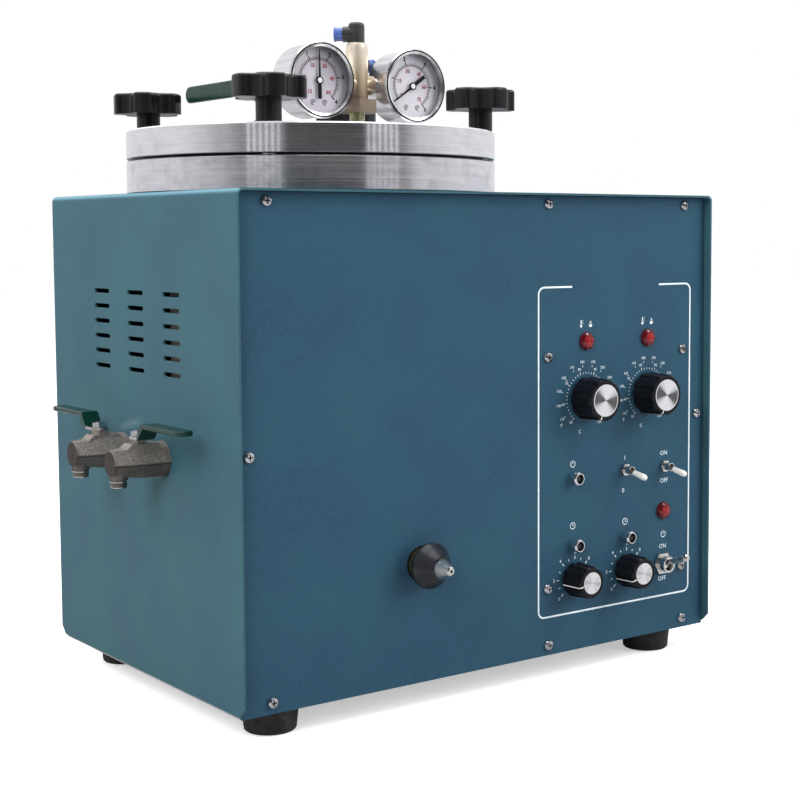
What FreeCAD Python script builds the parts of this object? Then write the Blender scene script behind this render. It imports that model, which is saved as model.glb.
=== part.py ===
"""Vacuum wax injector for jewellery casting: a heated pot with a clamped lid and gauges,
a sprung injection nozzle, two side valves and a control panel, in one sheet-metal case.

Millimetres.  Every function builds in the case's own frame: x to the right, y to the back,
z up, with x = y = 0 in the middle of the case and z = 0 under the feet.  save() then moves
each piece so that the origin lies under the middle of the whole object.
"""
import FreeCAD, Part
import os
from math import cos, pi, radians, sin, sqrt

V = FreeCAD.Vector
X_AXIS = V(1, 0, 0)
Y_AXIS = V(0, 1, 0)
Z_AXIS = V(0, 0, 1)

# ---------------------------------------------------------------- clearances
RUN = 0.05                 # radial play of a shaft that turns or slides in its bore
LOOSE = 0.25               # play round a piece that only sits in place

# ---------------------------------------------------------------- case
CASE_W = 405.0             # over the side walls
CASE_D = 275.0             # over the lips of the cover
FOOT_H = 17.5
CASE_TOP = 344.5           # top face of the cover
SHEET = 1.5                # cover and pan
PANEL_T = 2.0              # front and back panels
PANEL_RECESS = 6.0         # how far a panel lies behind the cover's lips
COVER_CORNER_R = 4.0
COVER_GAP = 2.0            # the pan shows below the side walls by this much
LIP_CHAMFER = 6.0
FLANGE_W = 17.0            # strips of the cover behind the panels, which take the screws
PAN_WALL_H = 15.0
PAN_PLAY = 0.3

FRONT_FACE = -CASE_D / 2 + PANEL_RECESS
FRONT_BACK = FRONT_FACE + PANEL_T
REAR_FACE = CASE_D / 2 - PANEL_RECESS
REAR_INNER = REAR_FACE - PANEL_T
PAN_TOP = FOOT_H + SHEET
COVER_BOTTOM = FOOT_H + COVER_GAP
WALL_IN = CASE_W / 2 - SHEET

# ---------------------------------------------------------------- vents
VENT_COLUMNS = 3
VENT_ROWS = 6
VENT_L = 23.5
VENT_H = 3.0
VENT_Y = 2.7               # middle column
VENT_Y_PITCH = 52.2
VENT_TOP_Z = CASE_TOP - 66.5
VENT_Z_PITCH = 10.4

# ---------------------------------------------------------------- screws
SCREW_R = 2.0
SCREW_HOLE_R = SCREW_R + 0.15
SCREW_HEAD_R = 3.6
SCREW_HEAD_H = 2.3
SCREW_GRIP = 4.5           # shank behind the panel
SCREW_EDGE_X = 23.5        # outer columns from the case's side
SCREW_MID_X = CASE_W / 2 - 156.0
SCREW_TOP_DROP = 7.4
SCREW_BOTTOM_RISE = 7.4
SCREW_SIDE_EDGE = 9.0
SCREW_SIDE_Z = 180.5
FRAME_MARGIN = 5.0         # of the stiffening frame beside its screws
FRAME_FOOT = 14.0          # and below them
FRAME_RAIL = 14.0

# ---------------------------------------------------------------- feet
FOOT_R_TOP = 19.0
FOOT_R_FLOOR = 17.0
FOOT_X = CASE_W / 2 - 36.5
FOOT_Y = CASE_D / 2 - 31.5
FOOT_RECESS_R = 6.5
FOOT_RECESS_H = 8.0
NUT_AF = 7.0
NUT_H = 3.2

# ---------------------------------------------------------------- wax pot
FLANGE_R = CASE_D / 2 - 6.9
POT_X = FLANGE_R + 8.4 - CASE_W / 2     # axis of pot, lid and nozzle
POT_IN_R = FLANGE_R - 50.6
POT_WALL = 8.0
POT_FLOOR = 10.0
POT_BOTTOM_Z = 82.0
FLANGE_T = 23.0
POT_FILLET = 8.0
POT_HOLE_PLAY = 2.0        # round the pot in the cover
GASKET_IN_R = POT_IN_R + 6.0
GASKET_W = 10.0
GASKET_GROOVE = 2.0
EDGE = 1.0                 # chamfer of machined edges

POT_OUT_R = POT_IN_R + POT_WALL
FLANGE_TOP = CASE_TOP + FLANGE_T

BAND_T = 2.7
BAND_BOTTOM_Z = 130.0
BAND_H = 60.0
BAND_SLIT = 8.0
EAR_L = 11.0
EAR_T = 1.6
FELT_T = 14.0
FELT_NOTCH_W = 52.0
FELT_NOTCH_PLAY = 2.0      # over the switch on the nozzle block

LEG_CIRCLE_R = POT_IN_R - 18.0
LEG_R = 6.0
LEG_PAD_R = 11.0
LEG_PAD_T = 3.0

# ---------------------------------------------------------------- lid and its clamps
LID_GAP = 0.8
LID_T = 20.0
LID_REGISTER_T = 3.0
LID_REGISTER_PLAY = 1.5
STUD_CIRCLE_R = FLANGE_R - 9.2
STUD_R = 5.0
STUD_HOLE_R = 6.2
STUD_DEPTH = 16.0
STUD_ABOVE_LID = 23.0
PORT_R = 5.5
NIPPLE_DEPTH = 12.0

KNOB_STEM_R = 8.4
KNOB_STEM_H = 15.0
KNOB_HEAD_R = STUD_CIRCLE_R / 4.955
KNOB_HEAD_H = 14.6
KNOB_LOBES = 5
KNOB_SCOOP_R = 10.0
KNOB_SCOOP_DEPTH = 6.0
KNOB_EDGE_R = 2.4
KNOB_SEAT = 0.1

LID_BOTTOM = FLANGE_TOP + LID_GAP
LID_TOP = LID_BOTTOM + LID_T

# ---------------------------------------------------------------- valve in the lid
LID_VALVE_R = 7.5
LID_VALVE_HEX = 13.0
LID_VALVE_HEX_H = 8.0
LID_VALVE_TOP = LID_TOP + 41.2
LID_VALVE_BALL_Z = LID_TOP + 30.2
LID_VALVE_BALL_R = 5.0
LID_VALVE_STEM_R = 2.0
LID_LEVER_L = 84.0
LID_LEVER_T = 3.0
LID_LEVER_RISE = 6.5
LID_LEVER_FOOT = 0.5
LID_GLAND_R = 4.6
LID_GLAND_REACH = 10.5
LID_LEVER_REACH = LID_GLAND_REACH + LID_LEVER_RISE + LID_LEVER_T / 2
LEVER_PAST_KNOB = 4.3      # room between the lever and the back left knob
PLUG_AF = 17.0
PLUG_H = 5.5

# the two lid ports lie so far left and right of the pot's axis that the lever passes the knob
PORT_OFFSET = STUD_CIRCLE_R / sqrt(2) - KNOB_HEAD_R - LID_LEVER_REACH - LEVER_PAST_KNOB
MANIFOLD_X = POT_X + PORT_OFFSET
LID_VALVE_X = POT_X - PORT_OFFSET

# ---------------------------------------------------------------- gauge manifold
MANIFOLD_R = 8.2
MANIFOLD_DOME = 6.0
MANIFOLD_CROWN_R = 6.2     # flat left on top of the dome
MANIFOLD_AF = 26.0
MANIFOLD_HEX_H = 9.5
MANIFOLD_HEX_TURN = 6.0
HEX_UNDER_PAD = 4.0        # from the hexagon's top to the gauges' pads
PAD_REACH = 12.4           # flat pads for the gauges
PAD_R = 7.0
BACK_PAD_REACH = 11.0      # and for the rear elbow
BACK_PAD_R = 6.2
TUBE_OD = 6.0
ELBOW_R = 5.9
ELBOW_CROWN_R = 2.8        # rounding of the leg's closed end
ELBOW_OVER = 8.5           # from the arm's axis to the closed end
ELBOW_ARM_R = 5.6
ELBOW_ARM = 9.9            # from the leg's axis to the mouth
BACK_ELBOW_ARM = 18.7      # long enough to pass the right gauge
ELBOW_TURN = 40.0          # the upper arm points this far back from the left
ELBOW_STAND = 0.9          # room under the rear arm
ELBOW_BORE_L = 12.0
BACK_ELBOW_OFF = 1.0       # its leg stands right of the manifold's axis
RING_R = 5.2
RING_L = 3.2
ELBOW_RING_L = 6.3
RING_TAIL_L = 2.4

# ---------------------------------------------------------------- gauges
GAUGE_STEM_SHOWN = 2.05
GAUGE_BEZEL_STEP = 1.1     # the bezel stands out from the case by this much
GAUGE_PAST_VALVE = 2.2     # room between the left gauge and the valve in the lid
GAUGE_R = (2 * PORT_OFFSET - LID_VALVE_R - GAUGE_PAST_VALVE
           - PAD_REACH - GAUGE_STEM_SHOWN - GAUGE_BEZEL_STEP) / 2
GAUGE_BEZEL_R = GAUGE_R + GAUGE_BEZEL_STEP
GAUGE_OVER_PLUG = 4.38     # room between a bezel and the plug in the lid
GAUGE_Z = LID_TOP + PLUG_H + GAUGE_OVER_PLUG + GAUGE_BEZEL_R
MANIFOLD_TOP = GAUGE_Z + 30.0
ELBOW_TOP_Z = MANIFOLD_TOP + 14.8
BACK_ELBOW_Z = MANIFOLD_TOP - 14.0
GAUGE_SPACING = 2 * (PAD_REACH + GAUGE_STEM_SHOWN + GAUGE_R)
GAUGE_BEZEL_L = 5.5
GAUGE_FRONT_Y = -18.0
GAUGE_L = 27.0
GAUGE_WALL = 1.0
BEZEL_LIP = 2.6
DIAL_Y = -12.0             # front face of the dial
DIAL_T = 0.8
LENS_T = 1.8
LENS_SEAT = 0.2
NEEDLE_L = GAUGE_R - 4.5
NEEDLE_TAIL = GAUGE_R / 2
NEEDLE_HALF_W = 0.9
NEEDLE_TAIL_HALF_W = 1.4
NEEDLE_T = 0.5
NEEDLE_LIFT = 1.5          # over the dial
NEEDLE_HUB_R = 2.8
ARBOR_R = 1.0
ARBOR_PLAY = 0.1
GAUGE_STEM_R = 5.5
NEEDLE_REST_LEFT = 90.0    # up from the +x direction, seen from the front
NEEDLE_REST_RIGHT = 216.0

# ---------------------------------------------------------------- ball valves
SIDE_VALVE_Y = (25.0, -34.0)
SIDE_VALVE_Z = 169.7
SIDE_VALVE_REACH = 37.5
SIDE_VALVE_STEM_AT = 17.2
SIDE_VALVE_OUTLET_AT = 31.5
BALL_R = 7.0
BALL_BORE_R = 4.0
STEM_R = 2.6
VALVE_FLANGE_R = 12.2
VALVE_FLANGE_T = 4.0
VALVE_HEX_IN = 20.5        # across flats at the stem, and at the outer end
VALVE_HEX_OUT = 16.2
VALVE_HEX_TURN = 30.0      # flats on top and below
VALVE_END_T = 1.6          # round disc at the outer end
VALVE_BOSS_W = 12.0        # raised casting under the stem
VALVE_BOSS_TOP = 12.0
VALVE_BOSS_SLOPE = 4.6
VALVE_BOSS_REACH = 11.5    # from the stem to the foot of its slope
VALVE_TAIL_R = 8.0
VALVE_TAIL_L = 17.0
VALVE_NUT_AF = 22.0
VALVE_NUT_T = 4.5
GLAND_AF = 10.0
GLAND_TOP = 15.0
OUTLET_R = 5.2
OUTLET_L = 4.9
OUTLET_DROP = 11.0         # from the valve's axis to the root of the outlet
OUTLET_STEP = 0.8          # the neck's end stands out round the outlet
LEVER_L = 69.0
LEVER_W = 12.0
LEVER_T = 3.4
LEVER_EDGE_R = 1.2
LEVER_STRAP_T = 2.0
LEVER_RISE = 9.4           # from the strap to the middle of the grip
LEVER_FOOT = 5.0           # flat strap past the edge of the stem's nut, before the bend
LEVER_NUT_AF = 9.0
LEVER_NUT_H = 3.2

# ---------------------------------------------------------------- injection nozzle
NOZZLE_Z = 98.0
NOZZLE_BOSS_HALF = 20.0
NOZZLE_BOSS_Y = -POT_OUT_R - 8.0     # flat on the pot that takes the block
PORT_BORE_R = 1.8
BLOCK_HALF_W = 18.0
BLOCK_HALF_H = 17.0
BLOCK_FRONT_Y = FRONT_BACK + 11.5
NECK_R = 11.0
NECK_REACH = 3.0           # past the panel's front face
NECK_PLAY = 1.0
SHANK_R = 5.0
SHANK_END_Y = NOZZLE_BOSS_Y - 6.0
COLLAR_STAND = 9.0         # collar's back from the panel
COLLAR_R = 15.3
COLLAR_RIM = 2.4
COLLAR_NOSE_R = 8.0
COLLAR_L = 13.0
COLLAR_RECESS_R = 9.0
COLLAR_RECESS_L = 6.0
CONE_BASE_R = 6.8
CONE_TIP_R = 2.5
CONE_L = 11.0
ORIFICE_R = 1.0
NOZZLE_TRAVEL = 5.0
PIN_R = 1.5
PIN_Y = BLOCK_FRONT_Y + 4.0
PIN_TOP = 24.0
PIN_SLOT_PLAY = 0.7
SPRING_MEAN_R = 7.2
SPRING_WIRE = 1.3
SPRING_PITCH = 3.3
CARTRIDGE_R = 3.1
CARTRIDGE_L = 32.0
CARTRIDGE_DROP = 11.0
SWITCH_W = 20.0
SWITCH_T = 6.0
SWITCH_H = 12.0
SWITCH_BACK_Y = NOZZLE_BOSS_Y - 1.2

COLLAR_BACK_Y = FRONT_FACE - COLLAR_STAND
COLLAR_FRONT_Y = COLLAR_BACK_Y - COLLAR_L
NOZZLE_TIP_Y = COLLAR_FRONT_Y - CONE_L

# ---------------------------------------------------------------- control panel
# places are (from the case's right side, from its top)
FRAME_SCREW_AT = ((156.5, 114.5), (24.5, 114.5), (156.5, 279.0), (24.5, 279.0))
LAMP_AT = ((120.5, 104.5), (60.5, 104.5), (43.5, 235.0))
LAMP_R = 6.5
LAMP_DOME = 4.0
LAMP_BODY_R = 4.5
LAMP_BODY_L = 16.0
LED_AT = ((132.5, 202.0), (132.0, 250.5), (81.5, 250.5))
LED_R = 4.75
LED_REACH = 7.5
LED_LENS_R = 3.2
LED_BODY_L = 7.0
TEMP_DIAL_AT = ((120.5, 145.5), (60.5, 145.5))
TIME_DIAL_AT = ((131.5, 275.0), (81.0, 275.0))
TEMP_DIAL_R = 15.6
TEMP_DIAL_H = 21.0
TEMP_CAP_R = 11.4
TIME_DIAL_R = 12.3
TIME_DIAL_H = 19.5
TIME_CAP_R = 7.8
DIAL_TAPER = 0.7
DIAL_OFF = 0.8             # knob's back from the panel
DIAL_FLUTES = 10
DIAL_FLUTE_R = 3.0
DIAL_FLUTE_DEPTH = 1.3
DIAL_HOLLOW_R = 8.5
DIAL_HOLLOW_L = 5.5
CAP_T = 1.0
CAP_PROUD = 0.3
SHAFT_R = 3.0
SHAFT_IN = 9.0             # shaft's reach behind the panel's back
BUSH_R = 4.5
BUSH_REACH = 4.0
BUSH_NUT_AF = 11.0
BUSH_NUT_T = 2.0
POT_CAN_R = 8.5
POT_CAN_L = 10.5
TAB_W = 1.6
TAB_L = 6.0

# switches: place, and 1 where the lever points up or -1 where it points down
TOGGLES = {
    "mode": ((82.5, 200.5), -1),
    "vacuum": ((42.5, 201.5), -1),
    "power": ((44.5, 275.0), 1),
}
TOGGLE_THROW = {"mode": 12.0, "vacuum": 12.0, "power": 19.5}     # degrees each side of straight out
SMALL_BUSH_R = 3.0
SMALL_BUSH_REACH = 8.0
SMALL_NUT_AF = 8.0
SMALL_BAT_R = 1.1
SMALL_BALL_R = 2.25
SMALL_SLEEVE_R = 2.4
SMALL_BAT_L = 19.0
SMALL_SLEEVE_L = 12.5
POWER_BUSH_R = 5.9
POWER_BUSH_REACH = 8.5
POWER_NUT_AF = 15.0
POWER_BAT_R = 2.0
POWER_BALL_R = 4.2
POWER_SLEEVE_R = 2.9
POWER_BAT_L = 26.5
POWER_SLEEVE_L = 5.5
TOGGLE_NUT_T = 2.2
TOGGLE_BODY = (8.5, 12.5, 10.0)
POWER_BODY = (15.0, 22.0, 20.0)

# ---------------------------------------------------------------- works inside the case
PUMP_X = CASE_W / 2 - 74.5
PUMP_Y = CASE_D / 2 - 85.5
PUMP_PLATE = (110.0, 92.0, 2.0)
MOUNT_R = 7.0
MOUNT_H = 10.0
MOTOR_R = 30.0
MOTOR_L = 66.0
MOTOR_LIFT = 4.0
MOTOR_BOSS_L = 4.0
SADDLE_SHORT = 16.0        # the saddle is this much shorter than the motor
HEAD_W = 64.0
HEAD_L = 18.0
HEAD_H = 62.0
HEAD_PORT_R = 4.0
HEAD_PORT_L = 12.0
HEAD_EDGE_R = 6.0
TRAFO_X = PUMP_X
TRAFO_Y = 75.5 - CASE_D / 2
TRAFO_CORE = (57.0, 28.0, 48.0)
TRAFO_COIL = (38.0, 46.0, 30.0)
TRAFO_FEET = (81.0, 16.0, 2.0)
BOARD_Y = (71.5 - CASE_D / 2, CASE_D / 2 - 49.5)
BOARD_Z = (CASE_TOP - 179.5, CASE_TOP - 44.5)
BOARD_T = 1.6
BOARD_OFF = 10.0
STANDOFF_R = 3.0
STANDOFF_INSET = 8.0       # from the board's edges
ROOT = 0.5                 # parts on the board start this far inside it
RELAY = (16.0, 19.0, 15.0)
RELAYS = 3
RELAY_PITCH = 24.0
RELAY_FIRST = (30.0, 24.0)     # from the board's front and lower edges
CAPACITOR_R = 8.0
CAPACITOR_L = 24.0
CAPACITORS = 2
CAPACITOR_PITCH = 22.0
CAPACITOR_FIRST = (22.0, 30.0) # from the board's back and upper edges
SINK_FINS = 6
SINK_PITCH = 6.0
SINK_FIRST = 22.0              # from the board's front edge
SINK_BASE = 4.0
SINK_FIN = (20.0, 1.8)
SINK_DOWN = (55.0, 18.0)       # foot and head, from the board's upper edge
PORT_AT_X = (CASE_W / 2 - 110.5, CASE_W / 2 - 68.5)
PORT_Z = 205.0
PORT_THREAD_R = 6.0
PORT_BODY_R = 7.0
PORT_BODY_L = 12.5
PORT_NUT_AF = 14.0
PORT_NUT_T = 3.0
PORT_THREAD_L = 12.0
SOLENOID_BODY = (22.0, 24.0, 20.0)
SOLENOID_COIL = (24.0, 22.0, 30.0)
INLET_X = CASE_W / 2 - 52.5
INLET_Z = 62.0
INLET_FLANGE = (31.0, 3.0, 52.0)
INLET_BODY = (27.0, 26.0, 46.0)
INLET_WELL = (24.0, 15.0, 16.5)
INLET_WELL_DROP = 10.5     # well's centre below the flange's centre
INLET_BLADE = (2.0, 12.0, 4.0)
INLET_BLADE_PITCH = 7.0
FUSE_DRAWER = (18.0, 12.0)

# ---------------------------------------------------------------- the whole object
LEFT_END = -CASE_W / 2 - SIDE_VALVE_REACH
RIGHT_END = CASE_W / 2
FRONT_END = NOZZLE_TIP_Y
REAR_END = REAR_FACE + PORT_BODY_L + RING_L
ORIGIN = V((LEFT_END + RIGHT_END) / 2, (FRONT_END + REAR_END) / 2, 0)


# ================================================================ helpers
def box(x, y, z):
    """A block from three (low, high) pairs."""
    corner = V(x[0], y[0], z[0])
    return Part.makeBox(x[1] - x[0], y[1] - y[0], z[1] - z[0], corner)


def span(centre, size):
    return (centre - size / 2, centre + size / 2)


def rod(start, axis, radius, length):
    return Part.makeCylinder(radius, length, start, axis)


def place(shape, base, axis, spin=0.0):
    """Stand a shape built on the Z axis at base, with its Z along axis."""
    turned = FreeCAD.Rotation(Z_AXIS, axis).multiply(FreeCAD.Rotation(Z_AXIS, spin))
    shape.Placement = FreeCAD.Placement(base, turned).multiply(shape.Placement)
    return shape


def revolve(profile):
    """Turn a closed outline of (radius, height) points about the Z axis."""
    points = [V(r, 0, h) for r, h in profile]
    face = Part.Face(Part.makePolygon(points + points[:1]))
    return face.revolve(V(0, 0, 0), Z_AXIS, 360)


def prism(points, height):
    """An upright prism on an outline of (x, y) points."""
    corners = [V(x, y, 0) for x, y in points]
    return Part.Face(Part.makePolygon(corners + corners[:1])).extrude(V(0, 0, height))


def hexagon(across_flats, turn=0.0):
    radius = across_flats / sqrt(3)
    return [(radius * cos(radians(60 * i + turn)), radius * sin(radians(60 * i + turn)))
            for i in range(6)]


def hex_bar(base, axis, across_flats, length, turn=0.0):
    return place(prism(hexagon(across_flats, turn), length), base, axis)


def ring(base, axis, outer, inner, length):
    return rod(base, axis, outer, length).cut(rod(base, axis, inner, length))


def polar(centre_x, radius, degrees, z):
    a = radians(degrees)
    return V(centre_x + radius * cos(a), radius * sin(a), z)


def fuse(shapes):
    joined = shapes[0].fuse(shapes[1:]) if len(shapes) > 1 else shapes[0]
    return joined.removeSplitter()


def group(shapes):
    return Part.makeCompound(shapes)


def front(x, z, off=0.0):
    """A point on the front panel's face, off millimetres in front of it."""
    return V(x, FRONT_FACE - off, z)


def on_panel(places):
    """(x, z) of places given from the case's right side and its top."""
    return [(CASE_W / 2 - right, CASE_TOP - down) for right, down in places]


# ================================================================ case
def panel_screw_places():
    top = CASE_TOP - SCREW_TOP_DROP
    bottom = FOOT_H + SCREW_BOTTOM_RISE
    edge = CASE_W / 2 - SCREW_EDGE_X
    side = CASE_W / 2 - SCREW_SIDE_EDGE
    rows = [(x, z) for z in (bottom, top) for x in (-edge, SCREW_MID_X, edge)]
    return rows + [(-side, SCREW_SIDE_Z), (side, SCREW_SIDE_Z)]


def side_profile(inset, bottom, top, radius):
    """Outline of the cover seen from the front, as a face in the XZ plane."""
    half = CASE_W / 2 - inset
    low_left = V(-half, 0, bottom)
    up_left = V(-half, 0, top - radius)
    top_left = V(-half + radius, 0, top)
    top_right = V(half - radius, 0, top)
    up_right = V(half, 0, top - radius)
    low_right = V(half, 0, bottom)
    bend = radius * (1 - sqrt(0.5))
    left_bend = Part.Arc(up_left, V(-half + bend, 0, top - bend), top_left).toShape()
    right_bend = Part.Arc(top_right, V(half - bend, 0, top - bend), up_right).toShape()
    edges = [Part.makeLine(low_left, up_left), left_bend, Part.makeLine(top_left, top_right),
             right_bend, Part.makeLine(up_right, low_right), Part.makeLine(low_right, low_left)]
    return Part.Face(Part.Wire(edges))


def vent_slots():
    """Rounded slots through both side walls."""
    slots = []
    for column in range(VENT_COLUMNS):
        y = VENT_Y + (column - (VENT_COLUMNS - 1) / 2) * VENT_Y_PITCH
        for row in range(VENT_ROWS):
            z = VENT_TOP_Z - row * VENT_Z_PITCH
            straight = (VENT_L - VENT_H) / 2
            for wall_x in (-CASE_W / 2, WALL_IN):
                x = (wall_x - 1, wall_x + SHEET + 1)
                slot = box(x, (y - straight, y + straight), span(z, VENT_H))
                slots.append(slot)
                for end in (y - straight, y + straight):
                    slots.append(rod(V(x[0], end, z), X_AXIS, VENT_H / 2, x[1] - x[0]))
    return slots


def lip_corner_cuts():
    """The 45 degree cuts at the feet of the cover's lips, front and back."""
    cuts = []
    for sign in (-1, 1):
        lip = sign * CASE_D / 2
        low = COVER_BOTTOM
        outline = [V(0, lip, low), V(0, lip - sign * LIP_CHAMFER, low), V(0, lip, low + LIP_CHAMFER)]
        face = Part.Face(Part.makePolygon(outline + outline[:1]))
        wedge = face.extrude(V(CASE_W + 2, 0, 0))
        wedge.translate(V(-CASE_W / 2 - 1, 0, 0))
        cuts.append(wedge)
    return cuts


def panel_frame(y):
    """Strips inside the cover, behind a panel, that its screws bite in."""
    low = PAN_TOP + PAN_WALL_H + 2
    outer = box((-WALL_IN, WALL_IN), y, (low, CASE_TOP - SHEET))
    inner = box((-WALL_IN + FLANGE_W, WALL_IN - FLANGE_W), y, (low, CASE_TOP - SHEET - FLANGE_W))
    return outer.cut(inner)


def cover():
    depth = V(0, CASE_D, 0)
    outer = side_profile(0, COVER_BOTTOM, CASE_TOP, COVER_CORNER_R).extrude(depth)
    inner_r = COVER_CORNER_R - SHEET
    inner = side_profile(SHEET, COVER_BOTTOM, CASE_TOP - SHEET, inner_r).extrude(depth)
    shell = outer.cut(inner)
    shell.translate(V(0, -CASE_D / 2, 0))
    shell = shell.fuse([panel_frame((FRONT_BACK, FRONT_BACK + SHEET)),
                        panel_frame((REAR_INNER - SHEET, REAR_INNER))])
    cuts = vent_slots() + lip_corner_cuts()
    cuts.append(rod(V(POT_X, 0, CASE_TOP - 5), Z_AXIS, POT_OUT_R + POT_HOLE_PLAY, 10))
    for y in SIDE_VALVE_Y:
        cuts.append(rod(V(-CASE_W / 2 - 1, y, SIDE_VALVE_Z), X_AXIS, VALVE_TAIL_R + LOOSE, SHEET + 2))
    for x, z in panel_screw_places():
        cuts.append(rod(V(x, -CASE_D / 2, z), Y_AXIS, SCREW_HOLE_R, CASE_D))
    return shell.cut(cuts).removeSplitter()


def panel_blank(y):
    half = WALL_IN - PAN_PLAY
    plate = box((-half, half), y, (FOOT_H, CASE_TOP - SHEET - PAN_PLAY))
    corners = [e for e in plate.Edges
               if abs(e.Vertexes[0].Y - e.Vertexes[-1].Y) > 0.1 and e.Vertexes[0].Z > CASE_TOP / 2]
    return plate.makeFillet(COVER_CORNER_R - SHEET, corners)


def front_panel():
    plate = panel_blank((FRONT_FACE, FRONT_BACK))
    holes = [(x, z, SCREW_HOLE_R) for x, z in panel_screw_places() + on_panel(FRAME_SCREW_AT)]
    holes += [(POT_X, NOZZLE_Z, NECK_R + NECK_PLAY)]
    holes += [(x, z, LAMP_BODY_R + LOOSE) for x, z in on_panel(LAMP_AT)]
    holes += [(x, z, LED_LENS_R + LOOSE) for x, z in on_panel(LED_AT)]
    holes += [(x, z, BUSH_R + LOOSE) for x, z in on_panel(TEMP_DIAL_AT + TIME_DIAL_AT)]
    for name in TOGGLES:
        x, z = toggle_place(name)
        holes.append((x, z, toggle_sizes(name)["bush"] + LOOSE))
    return plate.cut([rod(V(x, FRONT_FACE - 1, z), Y_AXIS, r, PANEL_T + 2) for x, z, r in holes])


def back_panel():
    plate = panel_blank((REAR_INNER, REAR_FACE))
    through = (REAR_INNER - 1, REAR_FACE + 1)
    cuts = [rod(V(x, through[0], z), Y_AXIS, SCREW_HOLE_R, PANEL_T + 2) for x, z in panel_screw_places()]
    for x in PORT_AT_X:
        cuts.append(rod(V(x, through[0], PORT_Z), Y_AXIS, PORT_THREAD_R + LOOSE, PANEL_T + 2))
    cuts.append(box(span(INLET_X, INLET_BODY[0] + 2 * LOOSE), through,
                    span(INLET_Z, INLET_BODY[2] + 2 * LOOSE)))
    return plate.cut(cuts)


def foot_places():
    return [V(sx * FOOT_X, sy * FOOT_Y, 0) for sx in (-1, 1) for sy in (-1, 1)]


def bottom_pan():
    half_x = WALL_IN - PAN_PLAY
    front_y = FRONT_BACK
    rear_y = REAR_INNER
    wall_x = CASE_W / 2 - FLANGE_W
    top = PAN_TOP + PAN_WALL_H
    parts = [box((-half_x, half_x), (front_y, rear_y), (FOOT_H, PAN_TOP))]
    for side in (-half_x, half_x - SHEET):
        parts.append(box((side, side + SHEET), (front_y, rear_y), (FOOT_H, top)))
    for end in (front_y, rear_y - SHEET):
        parts.append(box((-wall_x, wall_x), (end, end + SHEET), (FOOT_H, top)))
    cuts = [rod(p, Z_AXIS, SCREW_HOLE_R, PAN_TOP + 1) for p in foot_places()]
    for x, z in panel_screw_places():
        cuts.append(rod(V(x, -CASE_D / 2, z), Y_AXIS, SCREW_HOLE_R, CASE_D))
    return fuse(parts).cut(cuts)


def rubber_feet():
    shoulder = FOOT_R_TOP - 0.4
    outline = [(SCREW_HOLE_R, FOOT_RECESS_H), (FOOT_RECESS_R, FOOT_RECESS_H), (FOOT_RECESS_R, 0),
               (FOOT_R_FLOOR - EDGE, 0), (FOOT_R_FLOOR, EDGE), (shoulder, FOOT_H - 2),
               (FOOT_R_TOP, FOOT_H - 1), (FOOT_R_TOP, FOOT_H), (SCREW_HOLE_R, FOOT_H)]
    return group([place(revolve(outline), p, Z_AXIS) for p in foot_places()])


def pan_head_screw(grip):
    """A screw pointing up: its head hangs below z = 0."""
    head = [(0, -SCREW_HEAD_H), (SCREW_HEAD_R * 0.55, -SCREW_HEAD_H),
            (SCREW_HEAD_R * 0.88, -SCREW_HEAD_H * 0.75), (SCREW_HEAD_R, -SCREW_HEAD_H * 0.4),
            (SCREW_HEAD_R, 0), (SCREW_R, 0), (SCREW_R, grip), (0, grip)]
    return revolve(head)


def panel_frame_rails():
    """Outline of the frame behind the controls: (low, high) in x and in z."""
    xs = [x for x, _ in on_panel(FRAME_SCREW_AT)]
    zs = [z for _, z in on_panel(FRAME_SCREW_AT)]
    wide = (min(xs) - FRAME_MARGIN, max(xs) + FRAME_MARGIN)
    return wide, (min(zs) - FRAME_FOOT, max(zs) + FRAME_MARGIN)


def control_frame():
    """Stiffening frame screwed behind the front panel, round the controls."""
    wide, high = panel_frame_rails()
    y = (FRONT_BACK, FRONT_BACK + SHEET)
    plate = box(wide, y, high)
    window = box((wide[0] + FRAME_RAIL, wide[1] - FRAME_RAIL), (y[0] - 1, y[1] + 1),
                 (high[0] + FRAME_RAIL, high[1] - FRAME_RAIL))
    cuts = [rod(V(x, y[0] - 1, z), Y_AXIS, SCREW_HOLE_R, SHEET + 2) for x, z in on_panel(FRAME_SCREW_AT)]
    for name in TOGGLES:
        size = toggle_sizes(name)["body"]
        x, z = toggle_place(name)
        cuts.append(box(span(x, size[0] + 2 * LOOSE), (y[0] - 1, y[1] + 1),
                        span(z, size[1] + 2 * LOOSE)))
    for x, z in on_panel(TEMP_DIAL_AT + TIME_DIAL_AT):
        cuts.append(rod(V(x, y[0] - 1, z), Y_AXIS, POT_CAN_R + LOOSE, SHEET + 2))
    return plate.cut([window] + cuts).removeSplitter()


def case_screws():
    """Panel screws front and back, and the screws and nuts of the feet."""
    grip = PANEL_T + SCREW_GRIP
    pieces = []
    for x, z in panel_screw_places() + on_panel(FRAME_SCREW_AT):
        pieces.append(place(pan_head_screw(grip), front(x, z), Y_AXIS))
    for x, z in panel_screw_places():
        pieces.append(place(pan_head_screw(grip), V(x, REAR_FACE, z), -Y_AXIS))
    grip = PAN_TOP + NUT_H + 1 - FOOT_RECESS_H
    for p in foot_places():
        pieces.append(place(pan_head_screw(grip), p + V(0, 0, FOOT_RECESS_H), Z_AXIS))
        nut = hex_bar(p + V(0, 0, PAN_TOP), Z_AXIS, NUT_AF, NUT_H)
        pieces.append(nut.cut(rod(p, Z_AXIS, SCREW_R + RUN, CASE_TOP)))
    return group(pieces)


# ================================================================ wax pot
def stud_places(z):
    return [polar(POT_X, STUD_CIRCLE_R, 45 + 90 * i, z) for i in range(4)]


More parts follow.
